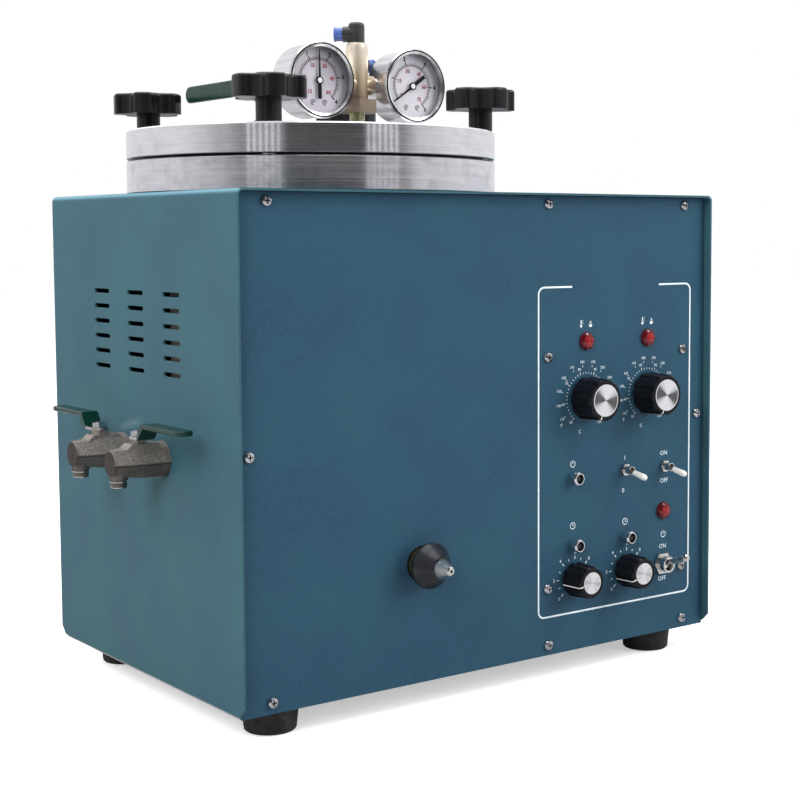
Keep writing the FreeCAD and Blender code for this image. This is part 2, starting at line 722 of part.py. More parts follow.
def pot_floor():
    top = POT_BOTTOM_Z + POT_FLOOR
    outline = [(0, POT_BOTTOM_Z), (POT_OUT_R - POT_FILLET, POT_BOTTOM_Z),
               (POT_OUT_R, POT_BOTTOM_Z + POT_FILLET), (POT_OUT_R, top), (0, top)]
    return place(revolve(outline), V(POT_X, 0, 0), Z_AXIS)


def pot_wall():
    """Tube on the floor, with the flat and the port for the nozzle block."""
    foot = V(POT_X, 0, POT_BOTTOM_Z + POT_FLOOR)
    height = CASE_TOP - foot.z
    flat = box(span(POT_X, 2 * NOZZLE_BOSS_HALF), (NOZZLE_BOSS_Y, 0), (foot.z, NOZZLE_Z + NOZZLE_BOSS_HALF))
    port = rod(V(POT_X, NOZZLE_BOSS_Y - 1, NOZZLE_Z), Y_AXIS, PORT_BORE_R, POT_IN_R)
    inside = rod(foot - V(0, 0, 1), Z_AXIS, POT_IN_R, height + 2)
    return fuse([rod(foot, Z_AXIS, POT_OUT_R, height), flat]).cut([inside, port])


def pot_flange():
    """Turned ring on the wall: groove for the gasket and four stud holes."""
    groove = GASKET_IN_R + GASKET_W
    outline = [(POT_IN_R, CASE_TOP), (FLANGE_R - EDGE, CASE_TOP), (FLANGE_R, CASE_TOP + EDGE),
               (FLANGE_R, FLANGE_TOP - EDGE), (FLANGE_R - EDGE, FLANGE_TOP),
               (groove, FLANGE_TOP), (groove, FLANGE_TOP - GASKET_GROOVE),
               (GASKET_IN_R, FLANGE_TOP - GASKET_GROOVE), (GASKET_IN_R, FLANGE_TOP),
               (POT_IN_R, FLANGE_TOP)]
    holes = [rod(p, Z_AXIS, STUD_R + RUN, STUD_DEPTH + 1) for p in stud_places(FLANGE_TOP - STUD_DEPTH)]
    return place(revolve(outline), V(POT_X, 0, 0), Z_AXIS).cut(holes)


def wax_pot():
    return group([pot_floor(), pot_wall(), pot_flange()])


def pot_gasket():
    bottom = V(POT_X, 0, FLANGE_TOP - GASKET_GROOVE)
    inner = GASKET_IN_R + LOOSE
    outer = GASKET_IN_R + GASKET_W - LOOSE
    return ring(bottom, Z_AXIS, outer, inner, GASKET_GROOVE + LID_GAP - RUN)


def heater_band():
    base = V(POT_X, 0, BAND_BOTTOM_Z)
    inner = POT_OUT_R + LOOSE
    outer = inner + BAND_T
    band = ring(base, Z_AXIS, outer, inner, BAND_H)
    z = (BAND_BOTTOM_Z + BAND_H / 4, BAND_BOTTOM_Z + BAND_H * 3 / 4)
    ears = []
    for side in (-1, 1):
        x = POT_X + side * (BAND_SLIT + EAR_T) / 2
        ear = box(span(x, EAR_T), (inner, outer + EAR_L), z)
        ears.append(ear)
    bolt = rod(V(POT_X - BAND_SLIT, outer + EAR_L / 2, BAND_BOTTOM_Z + BAND_H / 2), X_AXIS,
               SCREW_R, 2 * BAND_SLIT)
    slit = box(span(POT_X, BAND_SLIT), (0, outer + 1), (BAND_BOTTOM_Z - 1, BAND_BOTTOM_Z + BAND_H + 1))
    return fuse([band.cut(slit)] + ears + [bolt])


def pot_insulation():
    """Felt sleeve round the pot, with room for the heater band and the nozzle block."""
    inner = POT_OUT_R + LOOSE
    top = CASE_TOP - SHEET - PAN_PLAY
    sleeve = ring(V(POT_X, 0, POT_BOTTOM_Z + POT_FILLET), Z_AXIS, inner + FELT_T, inner,
                  top - POT_BOTTOM_Z - POT_FILLET)
    cuts = [rod(V(POT_X, 0, BAND_BOTTOM_Z - 1), Z_AXIS, inner + BAND_T + LOOSE, BAND_H + 2),
            box(span(POT_X, FELT_NOTCH_W), (-2 * POT_OUT_R, -POT_IN_R / 2),
                (POT_BOTTOM_Z, NOZZLE_Z + BLOCK_HALF_H + SWITCH_H + TAB_L + FELT_NOTCH_PLAY)),
            box(span(POT_X, 3 * BAND_SLIT), (0, 2 * POT_OUT_R),
                (BAND_BOTTOM_Z - 1, BAND_BOTTOM_Z + BAND_H + 1))]
    return sleeve.cut(cuts)


def pot_legs():
    legs = []
    for i in range(4):
        base = polar(POT_X, LEG_CIRCLE_R, 45 + 90 * i, PAN_TOP)
        height = POT_BOTTOM_Z - PAN_TOP
        outline = [(0, 0), (LEG_PAD_R, 0), (LEG_PAD_R, LEG_PAD_T), (LEG_R, LEG_PAD_T),
                   (LEG_R, height - LEG_PAD_T), (LEG_PAD_R, height - LEG_PAD_T),
                   (LEG_PAD_R, height), (0, height)]
        legs.append(place(revolve(outline), base, Z_AXIS))
    return group(legs)


def lid_studs():
    length = STUD_DEPTH + LID_GAP + LID_T + STUD_ABOVE_LID
    outline = [(0, 0), (STUD_R, 0), (STUD_R, length - EDGE), (STUD_R - EDGE, length), (0, length)]
    return group([place(revolve(outline), p, Z_AXIS) for p in stud_places(FLANGE_TOP - STUD_DEPTH)])


# ================================================================ lid
def lid_plate():
    register = POT_IN_R - LID_REGISTER_PLAY
    bottom = LID_BOTTOM - LID_REGISTER_T
    outline = [(0, bottom), (register - EDGE, bottom), (register, bottom + EDGE),
               (register, LID_BOTTOM), (FLANGE_R - EDGE, LID_BOTTOM), (FLANGE_R, LID_BOTTOM + EDGE),
               (FLANGE_R, LID_TOP - EDGE), (FLANGE_R - EDGE, LID_TOP), (0, LID_TOP)]
    plate = place(revolve(outline), V(POT_X, 0, 0), Z_AXIS)
    through = LID_T + LID_REGISTER_T + 2
    cuts = [rod(p, Z_AXIS, STUD_HOLE_R, through) for p in stud_places(LID_BOTTOM - 1)]
    for x in (MANIFOLD_X, LID_VALVE_X, POT_X):
        cuts.append(rod(V(x, 0, bottom - 1), Z_AXIS, PORT_R + RUN, through))
    return plate.cut(cuts)


def star_knob(place_number):
    """Five-lobed clamp knob with a blind bore for its stud."""
    head = Part.makeCylinder(KNOB_HEAD_R, KNOB_HEAD_H, V(0, 0, KNOB_STEM_H))
    reach = KNOB_HEAD_R + KNOB_SCOOP_R - KNOB_SCOOP_DEPTH
    step = 360 / KNOB_LOBES
    scoops = []
    for i in range(KNOB_LOBES):
        a = radians(step * (i + 0.5))
        start = V(reach * cos(a), reach * sin(a), KNOB_STEM_H - 1)
        scoops.append(rod(start, Z_AXIS, KNOB_SCOOP_R, KNOB_HEAD_H + 2))
    head = head.cut(scoops)
    uprights = [e for e in head.Edges if abs(e.Vertexes[0].Z - e.Vertexes[-1].Z) > KNOB_HEAD_H / 2]
    head = head.makeFillet(KNOB_EDGE_R * 1.5, uprights)
    top_z = KNOB_STEM_H + KNOB_HEAD_H
    rims = [e for e in head.Edges
            if min(abs(v.Z - top_z) for v in e.Vertexes) < 0.01
            and max(abs(v.Z - top_z) for v in e.Vertexes) < 0.01]
    head = head.makeFillet(KNOB_EDGE_R, rims)
    stem = revolve([(0, 0), (KNOB_STEM_R - EDGE / 2, 0), (KNOB_STEM_R, EDGE),
                    (KNOB_STEM_R, KNOB_STEM_H), (KNOB_STEM_R + 2, KNOB_STEM_H + 2), (0, KNOB_STEM_H + 2)])
    bore = rod(V(0, 0, -1), Z_AXIS, STUD_R + RUN, STUD_ABOVE_LID + 2)
    knob = fuse([head, stem]).cut(bore)
    return place(knob, stud_places(LID_TOP + KNOB_SEAT)[place_number], Z_AXIS, 18 * place_number)


def gauge_manifold():
    """Cross fitting: long nipple in the lid, hexagon, barrel with a domed top, and flat pads."""
    foot = V(MANIFOLD_X, 0, LID_TOP)
    barrel_at = GAUGE_Z - PAD_R - HEX_UNDER_PAD - LID_TOP
    hex_at = barrel_at - MANIFOLD_HEX_H
    top = MANIFOLD_TOP - LID_TOP
    dome = []
    for a in (0, pi / 8, pi / 4, 3 * pi / 8):
        r = MANIFOLD_CROWN_R + (MANIFOLD_R - MANIFOLD_CROWN_R) * cos(a)
        dome.append((r, top - MANIFOLD_DOME * (1 - sin(a))))
    barrel = revolve([(0, barrel_at), (MANIFOLD_R, barrel_at)] + dome + [(MANIFOLD_CROWN_R, top), (0, top)])
    parts = [place(barrel, foot, Z_AXIS),
             rod(foot - V(0, 0, NIPPLE_DEPTH), Z_AXIS, PORT_R, NIPPLE_DEPTH + hex_at),
             hex_bar(foot + V(0, 0, hex_at), Z_AXIS, MANIFOLD_AF, MANIFOLD_HEX_H,
                     MANIFOLD_HEX_TURN)]
    side = V(MANIFOLD_X - PAD_REACH, 0, GAUGE_Z)
    parts.append(rod(side, X_AXIS, PAD_R, 2 * PAD_REACH))
    parts.append(rod(V(MANIFOLD_X + BACK_ELBOW_OFF, 0, BACK_ELBOW_Z), Y_AXIS, BACK_PAD_R, BACK_PAD_REACH))
    return fuse(parts)


def elbow(leg_base, leg_axis, leg_length, arm_axis, arm_length):
    """Push-fit elbow: a round-topped leg out of the block and a bored arm across it."""
    tall = leg_length + ELBOW_OVER
    leg = Part.makeCylinder(ELBOW_R, tall)
    leg = leg.makeFillet(ELBOW_CROWN_R, [e for e in leg.Edges if all(v.Z > tall - 1 for v in e.Vertexes)])
    place(leg, leg_base, leg_axis)
    corner = leg_base + leg_axis * leg_length
    arm = rod(corner, arm_axis, ELBOW_ARM_R, arm_length)
    mouth = corner + arm_axis * arm_length
    bore = rod(mouth, -arm_axis, TUBE_OD / 2 + RUN, ELBOW_BORE_L)
    seat = rod(mouth, -arm_axis, RING_R - 0.9 + RUN, RING_TAIL_L + LOOSE)
    return fuse([leg, arm]).cut([bore, seat]), mouth


def elbows():
    """The two elbows of the manifold: (solid, mouth, direction of the tube)."""
    top_base = V(MANIFOLD_X, 0, MANIFOLD_TOP)
    top_leg = ELBOW_TOP_Z - ELBOW_OVER - MANIFOLD_TOP
    top_arm = V(-cos(radians(ELBOW_TURN)), sin(radians(ELBOW_TURN)), 0)
    back_base = V(MANIFOLD_X + BACK_ELBOW_OFF, BACK_PAD_REACH, BACK_ELBOW_Z)
    back_leg = ELBOW_ARM_R + ELBOW_STAND
    made = []
    for base, axis, leg, arm, reach in ((top_base, Z_AXIS, top_leg, top_arm, ELBOW_ARM),
                                        (back_base, Y_AXIS, back_leg, X_AXIS, BACK_ELBOW_ARM)):
        solid, mouth = elbow(base, axis, leg, arm, reach)
        made.append((solid, mouth, arm))
    return made


def elbow_fittings():
    return group([solid for solid, _, _ in elbows()])


def release_ring(mouth, axis, length):
    """Collar that frees the tube: a flange outside and a tail in the mouth."""
    bore = TUBE_OD / 2 + RUN
    tail = RING_R - 0.9
    waist = RING_R - 0.4
    outline = [(bore, -RING_TAIL_L), (tail, -RING_TAIL_L), (tail, 0), (waist, 0),
               (waist, length - 1.4), (RING_R, length - 1.2), (RING_R, length), (bore, length)]
    return place(revolve(outline), mouth, axis)


def release_rings():
    return group([release_ring(mouth, arm, ELBOW_RING_L) for _, mouth, arm in elbows()])


def gauge_centres():
    return [V(MANIFOLD_X + side * GAUGE_SPACING / 2, GAUGE_FRONT_Y, GAUGE_Z) for side in (-1, 1)]


def gauge_case_profile():
    """Cup with a rolled bezel; height runs back from the bezel's front."""
    inner = GAUGE_R - GAUGE_WALL
    lip = GAUGE_BEZEL_R - BEZEL_LIP - GAUGE_WALL
    return [(0, GAUGE_L), (GAUGE_R - EDGE, GAUGE_L), (GAUGE_R, GAUGE_L - EDGE),
            (GAUGE_R, GAUGE_BEZEL_L), (GAUGE_BEZEL_R, GAUGE_BEZEL_L - 0.8), (GAUGE_BEZEL_R, 1.2),
            (GAUGE_BEZEL_R - 1.0, 0.2), (GAUGE_BEZEL_R - 2.0, 0), (lip, 0.6), (lip, 1.2),
            (inner, 1.2), (inner, GAUGE_L - GAUGE_WALL), (0, GAUGE_L - GAUGE_WALL)]


def gauge_cases():
    """Steel cups of both gauges with the stems that screw against the manifold."""
    cases = []
    for centre, side in zip(gauge_centres(), (1, -1)):
        cup = place(revolve(gauge_case_profile()), centre, Y_AXIS)
        start = V(centre.x + side * (GAUGE_R - GAUGE_WALL / 2), 0, GAUGE_Z)
        length = GAUGE_SPACING / 2 - PAD_REACH - GAUGE_R + GAUGE_WALL / 2
        stem = rod(start, X_AXIS * side, GAUGE_STEM_R, length)
        cavity = rod(centre + V(0, 1.2, 0), Y_AXIS, GAUGE_R - GAUGE_WALL, GAUGE_L - GAUGE_WALL - 1.2)
        cases.append(cup.fuse(stem.cut(cavity)).removeSplitter())
    return group(cases)


def gauge_dials():
    dials = []
    for centre in gauge_centres():
        base = V(centre.x, DIAL_Y, centre.z)
        outer = GAUGE_R - GAUGE_WALL - LOOSE
        dials.append(ring(base, Y_AXIS, outer, ARBOR_R + ARBOR_PLAY, DIAL_T))
    return group(dials)


def gauge_lenses():
    lenses = []
    for centre in gauge_centres():
        base = centre + V(0, 1.2 + LENS_SEAT, 0)
        lenses.append(rod(base, Y_AXIS, GAUGE_R - GAUGE_WALL - LOOSE, LENS_T))
    return group(lenses)


def gauge_needle(number, rest_angle):
    """Pointer and arbor; the angle runs anticlockwise from +x, seen from the front."""
    centre = gauge_centres()[number]
    wide, narrow = NEEDLE_TAIL_HALF_W, NEEDLE_HALF_W
    outline = [(-NEEDLE_TAIL, -wide), (-NEEDLE_HUB_R, -wide), (0, -narrow), (NEEDLE_L, -narrow / 4),
               (NEEDLE_L, narrow / 4), (0, narrow), (-NEEDLE_HUB_R, wide), (-NEEDLE_TAIL, wide)]
    blade = prism(outline, NEEDLE_T)
    blade.translate(V(0, 0, NEEDLE_LIFT))
    hub = rod(V(0, 0, NEEDLE_LIFT - 0.4), Z_AXIS, NEEDLE_HUB_R, NEEDLE_T + 0.6)
    arbor = rod(V(0, 0, -6), Z_AXIS, ARBOR_R, 6 + NEEDLE_LIFT)
    return place(fuse([blade, hub, arbor]), V(centre.x, DIAL_Y, centre.z), -Y_AXIS, rest_angle)


# ================================================================ ball valves
def valve_lever(length, width, stem_r, rise, grip_t, foot):
    """Lever on a stem along Z, pointing to +X: strap, Z-bend and dipped grip."""
    rise_from = width / 2 + foot
    rise_to = rise_from + rise * 0.75
    grip_low = rise - grip_t / 2
    grip_high = rise + grip_t / 2
    side = [(-width / 2, 0), (rise_from, 0), (rise_to, grip_low), (length, grip_low),
            (length, grip_high), (rise_to - LEVER_STRAP_T, grip_high),
            (rise_from - LEVER_STRAP_T / 2, LEVER_STRAP_T), (-width / 2, LEVER_STRAP_T)]
    profile = [V(x, 0, z) for x, z in side]
    strip = Part.Face(Part.makePolygon(profile + profile[:1])).extrude(V(0, width, 0))
    strip.translate(V(0, -width / 2, 0))
    end_r = width / 2
    centre_x = length - end_r
    plan = fuse([box((0, centre_x), (-end_r, end_r), (0, grip_high)),
                 rod(V(0, 0, 0), Z_AXIS, end_r, grip_high),
                 rod(V(centre_x, 0, 0), Z_AXIS, end_r, grip_high)])
    lever = strip.common(plan).removeSplitter()
    rims = [e for e in lever.Edges if is_grip_rim(e, rise_to, (grip_low, grip_high), centre_x)]
    lever = lever.makeFillet(LEVER_EDGE_R, rims)
    return lever.cut(rod(V(0, 0, -1), Z_AXIS, stem_r + RUN, LEVER_STRAP_T + 2))


def is_grip_rim(edge, rise_to, heights, centre_x):
    """Whether an edge runs round the grip's upper or lower face, sides and tip."""
    level = [height for height in heights if all(abs(v.Z - height) < 0.01 for v in edge.Vertexes)]
    outside = all(v.X > rise_to - 2 * LEVER_STRAP_T for v in edge.Vertexes)
    across = abs(edge.CenterOfMass.y) < 1 and edge.CenterOfMass.x < centre_x
    return bool(level) and outside and not across


def valve_ball(ball_r, bore_r, stem_r, seat_height):
    """Bored ball at the origin with its stem along Z and the nut above the lever."""
    ball = Part.makeSphere(ball_r)
    ball = ball.cut(rod(V(0, -ball_r - 1, 0), Y_AXIS, bore_r, 2 * ball_r + 2))
    stem = rod(V(0, 0, ball_r - 1.5), Z_AXIS, stem_r, seat_height + LEVER_STRAP_T + LEVER_NUT_H - ball_r + 1.9)
    nut = hex_bar(V(0, 0, seat_height + LEVER_STRAP_T + RUN), Z_AXIS, LEVER_NUT_AF, LEVER_NUT_H)
    return fuse([ball, stem, nut])


def side_valve_stem_foot(y):
    """Where the lever sits on the stem of a side valve."""
    return V(-CASE_W / 2 - SIDE_VALVE_STEM_AT, y, SIDE_VALVE_Z + GLAND_TOP)


def valve_loft():
    """Cast hexagonal barrel, flat on top, that narrows towards its outer end."""
    wires = []
    for size, at in ((VALVE_HEX_IN, VALVE_FLANGE_T), (VALVE_HEX_IN, SIDE_VALVE_STEM_AT),
                     (VALVE_HEX_OUT, SIDE_VALVE_REACH - VALVE_END_T)):
        points = [V(x, y, at) for x, y in hexagon(size, VALVE_HEX_TURN)]
        wires.append(Part.makePolygon(points + points[:1]))
    return Part.makeLoft(wires, True, True)


def valve_boss(y):
    """Raised casting that carries the stem, sloped at its outer end."""
    stem_x = -CASE_W / 2 - SIDE_VALVE_STEM_AT
    foot_x = stem_x - VALVE_BOSS_REACH
    root_z = SIDE_VALVE_Z + VALVE_HEX_OUT / 2
    top_z = SIDE_VALVE_Z + VALVE_BOSS_TOP
    wall_x = -CASE_W / 2 - VALVE_FLANGE_T / 2
    side = [V(foot_x, 0, SIDE_VALVE_Z), V(foot_x, 0, root_z), V(foot_x + VALVE_BOSS_SLOPE, 0, top_z),
            V(wall_x - VALVE_BOSS_SLOPE, 0, top_z), V(wall_x, 0, root_z), V(wall_x, 0, SIDE_VALVE_Z)]
    boss = Part.Face(Part.makePolygon(side + side[:1])).extrude(V(0, VALVE_BOSS_W, 0))
    boss.translate(V(0, y - VALVE_BOSS_W / 2, 0))
    return boss


def side_valve_body(y):
    """Axis along -X from the wall; stem gland on top, outlet below the outer end."""
    wall = V(-CASE_W / 2, y, SIDE_VALVE_Z)
    barrel = place(valve_loft(), wall, -X_AXIS)
    flange = rod(wall, -X_AXIS, VALVE_FLANGE_R, VALVE_FLANGE_T)
    tail = rod(wall + V(VALVE_TAIL_L, 0, 0), -X_AXIS, VALVE_TAIL_R, VALVE_TAIL_L + 1)
    stem_at = wall + V(-SIDE_VALVE_STEM_AT, 0, 0)
    gland = hex_bar(stem_at, Z_AXIS, GLAND_AF, GLAND_TOP - LOOSE)
    end = rod(wall - V(SIDE_VALVE_REACH - VALVE_END_T, 0, 0), -X_AXIS, VALVE_HEX_OUT / 2, VALVE_END_T)
    out_at = wall + V(-SIDE_VALVE_OUTLET_AT, 0, 0)
    neck = rod(out_at, -Z_AXIS, OUTLET_R + OUTLET_STEP, OUTLET_DROP)
    outlet = rod(out_at, -Z_AXIS, OUTLET_R, OUTLET_DROP + OUTLET_L)
    body = fuse([barrel, flange, tail, valve_boss(y), gland, end, neck, outlet])
    passage_r = BALL_BORE_R - 0.5
    cuts = [Part.makeSphere(BALL_R + RUN, stem_at),
            rod(wall + V(VALVE_TAIL_L + 1, 0, 0), -X_AXIS, passage_r, VALVE_TAIL_L + 1 + SIDE_VALVE_OUTLET_AT),
            rod(out_at, -Z_AXIS, passage_r, OUTLET_DROP + OUTLET_L + 1),
            rod(stem_at, Z_AXIS, STEM_R + RUN, GLAND_TOP + 1)]
    return body.cut(cuts)


def side_valve_bodies():
    pieces = []
    for y in SIDE_VALVE_Y:
        pieces.append(side_valve_body(y))
        inside = V(-WALL_IN, y, SIDE_VALVE_Z)
        nut = hex_bar(inside, X_AXIS, VALVE_NUT_AF, VALVE_NUT_T)
        pieces.append(nut.cut(rod(inside, X_AXIS, VALVE_TAIL_R + RUN, VALVE_NUT_T)))
    return group(pieces)


def side_valve_lever(number):
    """The rear lever points back and the front one points forward: both closed."""
    lever = valve_lever(LEVER_L, LEVER_W, STEM_R, LEVER_RISE, LEVER_T, LEVER_FOOT)
    return place(lever, side_valve_stem_foot(SIDE_VALVE_Y[number]), Z_AXIS, (90, -90)[number])


def side_valve_ball(number):
    ball = valve_ball(BALL_R, BALL_BORE_R, STEM_R, GLAND_TOP)
    centre = side_valve_stem_foot(SIDE_VALVE_Y[number]) - V(0, 0, GLAND_TOP)
    return place(ball, centre, Z_AXIS)


def lid_valve_body():
    """Small upright ball valve in the lid's left port; its stem points to -X."""
    foot = V(LID_VALVE_X, 0, LID_TOP)
    nipple = rod(foot - V(0, 0, NIPPLE_DEPTH), Z_AXIS, PORT_R, NIPPLE_DEPTH + 1)
    nut = hex_bar(foot, Z_AXIS, LID_VALVE_HEX, LID_VALVE_HEX_H, 30)
    barrel = rod(foot, Z_AXIS, LID_VALVE_R - 1.5, LID_VALVE_TOP - LID_TOP)
    middle = V(LID_VALVE_X, 0, LID_VALVE_BALL_Z)
    round_part = rod(middle - V(0, 0, 9), Z_AXIS, LID_VALVE_R, 18)
    gland = rod(middle, -X_AXIS, LID_GLAND_R, LID_GLAND_REACH - 0.3)
    body = fuse([nipple, nut, barrel, round_part, gland])
    cuts = [Part.makeSphere(LID_VALVE_BALL_R + RUN, middle),
            rod(foot - V(0, 0, NIPPLE_DEPTH + 1), Z_AXIS, TUBE_OD / 2, LID_VALVE_TOP - LID_TOP + NIPPLE_DEPTH + 2),
            rod(middle, -X_AXIS, LID_VALVE_STEM_R + RUN, LID_GLAND_REACH + 1)]
    return body.cut(cuts)


def lid_valve_foot():
    return V(LID_VALVE_X - LID_GLAND_REACH, 0, LID_VALVE_BALL_Z)


def lid_valve_lever():
    lever = valve_lever(LID_LEVER_L, LEVER_W, LID_VALVE_STEM_R, LID_LEVER_RISE, LID_LEVER_T, LID_LEVER_FOOT)
    # the lever's +X must point to the back once its Z points to -X
    lever.rotate(V(0, 0, 0), Z_AXIS, 90)
    return place(lever, lid_valve_foot(), -X_AXIS)


def lid_valve_ball():
    ball = valve_ball(LID_VALVE_BALL_R, TUBE_OD / 2, LID_VALVE_STEM_R, LID_GLAND_REACH)
    return place(ball, V(LID_VALVE_X, 0, LID_VALVE_BALL_Z), -X_AXIS)


def lid_plug():
    foot = V(POT_X, 0, LID_TOP)
    thread = rod(foot - V(0, 0, NIPPLE_DEPTH), Z_AXIS, PORT_R, NIPPLE_DEPTH + 1)
    return fuse([hex_bar(foot, Z_AXIS, PLUG_AF, PLUG_H), thread])


# ================================================================ injection nozzle
def nozzle_axis_point(y):
    return V(POT_X, y, NOZZLE_Z)


def injector_block():
    """Heated block on the pot's boss; its neck passes the front panel."""
    body = box(span(POT_X, 2 * BLOCK_HALF_W), (BLOCK_FRONT_Y, NOZZLE_BOSS_Y),
               span(NOZZLE_Z, 2 * BLOCK_HALF_H))
    long_edges = [e for e in body.Edges if abs(e.Vertexes[0].Y - e.Vertexes[-1].Y) > 1]
    body = body.makeChamfer(3, long_edges)
    neck_end = FRONT_FACE - NECK_REACH
    neck = rod(nozzle_axis_point(neck_end), Y_AXIS, NECK_R, BLOCK_FRONT_Y - neck_end + 1)
    cuts = [rod(nozzle_axis_point(neck_end - 1), Y_AXIS, SHANK_R + RUN, NOZZLE_BOSS_Y - neck_end + 0.5),
            rod(nozzle_axis_point(NOZZLE_BOSS_Y - 1), Y_AXIS, PORT_BORE_R, 2),
            rod(V(POT_X + BLOCK_HALF_W + 1, (BLOCK_FRONT_Y + NOZZLE_BOSS_Y) / 2, NOZZLE_Z - CARTRIDGE_DROP),
                -X_AXIS, CARTRIDGE_R + RUN, CARTRIDGE_L),
            box(span(POT_X, 2 * (PIN_R + PIN_SLOT_PLAY)),
                (PIN_Y - PIN_R - PIN_SLOT_PLAY, PIN_Y + PIN_R + NOZZLE_TRAVEL + PIN_SLOT_PLAY),
                (NOZZLE_Z, NOZZLE_Z + BLOCK_HALF_H + 1))]
    return fuse([body, neck]).cut(cuts)


def block_heater():
    middle_y = (BLOCK_FRONT_Y + NOZZLE_BOSS_Y) / 2
    end = V(POT_X + BLOCK_HALF_W + 5, middle_y, NOZZLE_Z - CARTRIDGE_DROP)
    return rod(end, -X_AXIS, CARTRIDGE_R, CARTRIDGE_L)


def nozzle_switch():
    """Microswitch on the block; the nozzle's pin stops just short of its button."""
    bottom = NOZZLE_Z + BLOCK_HALF_H
    body = box(span(POT_X, SWITCH_W), (SWITCH_BACK_Y - SWITCH_T, SWITCH_BACK_Y), (bottom, bottom + SWITCH_H))
    pressed = PIN_Y + PIN_R + NOZZLE_TRAVEL
    face = SWITCH_BACK_Y - SWITCH_T
    button_z = NOZZLE_Z + PIN_TOP - 2.5
    button = rod(V(POT_X, face + 1, button_z), -Y_AXIS, 1.6, face + 1 - pressed - LOOSE)
    tabs = [box(span(POT_X + i * 6, TAB_W), (SWITCH_BACK_Y - 3.5, SWITCH_BACK_Y - 2.7),
                (bottom + SWITCH_H, bottom + SWITCH_H + TAB_L)) for i in (-1, 0, 1)]
    return fuse([body, button] + tabs)


def injection_nozzle():
    """Bored steel shank with the tip's cone and the pin that works the switch."""
    length = SHANK_END_Y - COLLAR_FRONT_Y
    outline = [(ORIFICE_R, 0), (SHANK_R, 0), (SHANK_R, length), (CONE_BASE_R, length),
               (CONE_BASE_R - 0.3, length + 1.5), (CONE_TIP_R + 0.6, length + CONE_L - 1.0),
               (CONE_TIP_R - 0.4, length + CONE_L), (ORIFICE_R, length + CONE_L)]
    body = place(revolve(outline), nozzle_axis_point(SHANK_END_Y), -Y_AXIS)
    pin = rod(nozzle_axis_point(PIN_Y) + V(0, 0, SHANK_R / 2 + 0.5), Z_AXIS, PIN_R, PIN_TOP - SHANK_R / 2 - 0.5)
    return fuse([body, pin])


def nozzle_collar():
    outline = [(SHANK_R + RUN, COLLAR_L), (COLLAR_NOSE_R, COLLAR_L), (COLLAR_R, COLLAR_RIM),
               (COLLAR_R, 0.6), (COLLAR_R - 0.6, 0), (COLLAR_RECESS_R, 0),
               (COLLAR_RECESS_R, COLLAR_RECESS_L), (SHANK_R + RUN, COLLAR_RECESS_L)]
    return place(revolve(outline), nozzle_axis_point(COLLAR_BACK_Y), -Y_AXIS)


def nozzle_spring():
    """Square-wire spring between the neck and the collar's recess."""
    gap = COLLAR_STAND - NECK_REACH + COLLAR_RECESS_L
    height = gap - SPRING_WIRE - 2 * LOOSE
    helix = Part.makeHelix(SPRING_PITCH, height, SPRING_MEAN_R)
    half = SPRING_WIRE / 2
    corners = [V(SPRING_MEAN_R + dx * half, 0, dz * half) for dx, dz in ((-1, -1), (1, -1), (1, 1), (-1, 1))]
    section = Part.makePolygon(corners + corners[:1])
    coil = Part.Wire(helix.Edges).makePipeShell([section], True, True)
    return place(coil, nozzle_axis_point(FRONT_FACE - NECK_REACH - half - LOOSE), -Y_AXIS)


# ================================================================ control panel
def indicator_lamps():
    """Red lamps: a dome over the panel and a body behind it."""
    lamps = []
    for x, z in on_panel(LAMP_AT):
        dome = [(LAMP_R * cos(a), 1.0 + (LAMP_DOME - 1.0) * sin(a)) for a in (0, pi / 8, pi / 4, 3 * pi / 8)]
        outline = [(0, -LAMP_BODY_L), (LAMP_BODY_R, -LAMP_BODY_L), (LAMP_BODY_R, 0), (LAMP_R, 0)] + dome
        lamps.append(place(revolve(outline + [(0, LAMP_DOME)]), front(x, z), -Y_AXIS))
    return group(lamps)


def led_bezels():
    """Chrome bezels and the small lamps inside them."""
    pieces = []
    for x, z in on_panel(LED_AT):
        bezel = [(LED_LENS_R + LOOSE, 0), (LED_R, 0), (LED_R, LED_REACH - 0.8), (LED_R - 0.8, LED_REACH),
                 (LED_LENS_R + LOOSE, LED_REACH)]
        pieces.append(place(revolve(bezel), front(x, z), -Y_AXIS))
        lens = [(0, -LED_BODY_L), (LED_LENS_R, -LED_BODY_L), (LED_LENS_R, LED_REACH - 3.0),
                (LED_LENS_R * 0.7, LED_REACH - 1.7), (0, LED_REACH - 1.2)]
        pieces.append(place(revolve(lens), front(x, z), -Y_AXIS))
    return group(pieces)


def dial_potentiometers():
    pots = []
    for x, z in on_panel(TEMP_DIAL_AT + TIME_DIAL_AT):
        can = [(SHAFT_R + RUN, BUSH_REACH), (BUSH_R, BUSH_REACH), (BUSH_R, -PANEL_T),
               (POT_CAN_R, -PANEL_T), (POT_CAN_R, -PANEL_T - POT_CAN_L), (0, -PANEL_T - POT_CAN_L),
               (0, -PANEL_T - SHAFT_IN - LOOSE), (SHAFT_R + RUN, -PANEL_T - SHAFT_IN - LOOSE)]
        body = place(revolve(can), front(x, z), -Y_AXIS)
        back = FRONT_BACK + POT_CAN_L / 2
        tabs = [box(span(x + i * 5, TAB_W), span(back, 0.8), (z - POT_CAN_R - TAB_L, z - POT_CAN_R + 3))
                for i in (-1, 0, 1)]
        nut = hex_bar(front(x, z), -Y_AXIS, BUSH_NUT_AF, BUSH_NUT_T)
        nut = nut.cut(rod(front(x, z), -Y_AXIS, BUSH_R + RUN, BUSH_NUT_T))
        shaft_way = rod(front(x, z, BUSH_REACH), Y_AXIS, SHAFT_R + RUN, BUSH_REACH + PANEL_T + SHAFT_IN + LOOSE)
        pots.append(fuse([body] + tabs).cut(shaft_way))
        pots.append(nut)
    return group(pots)


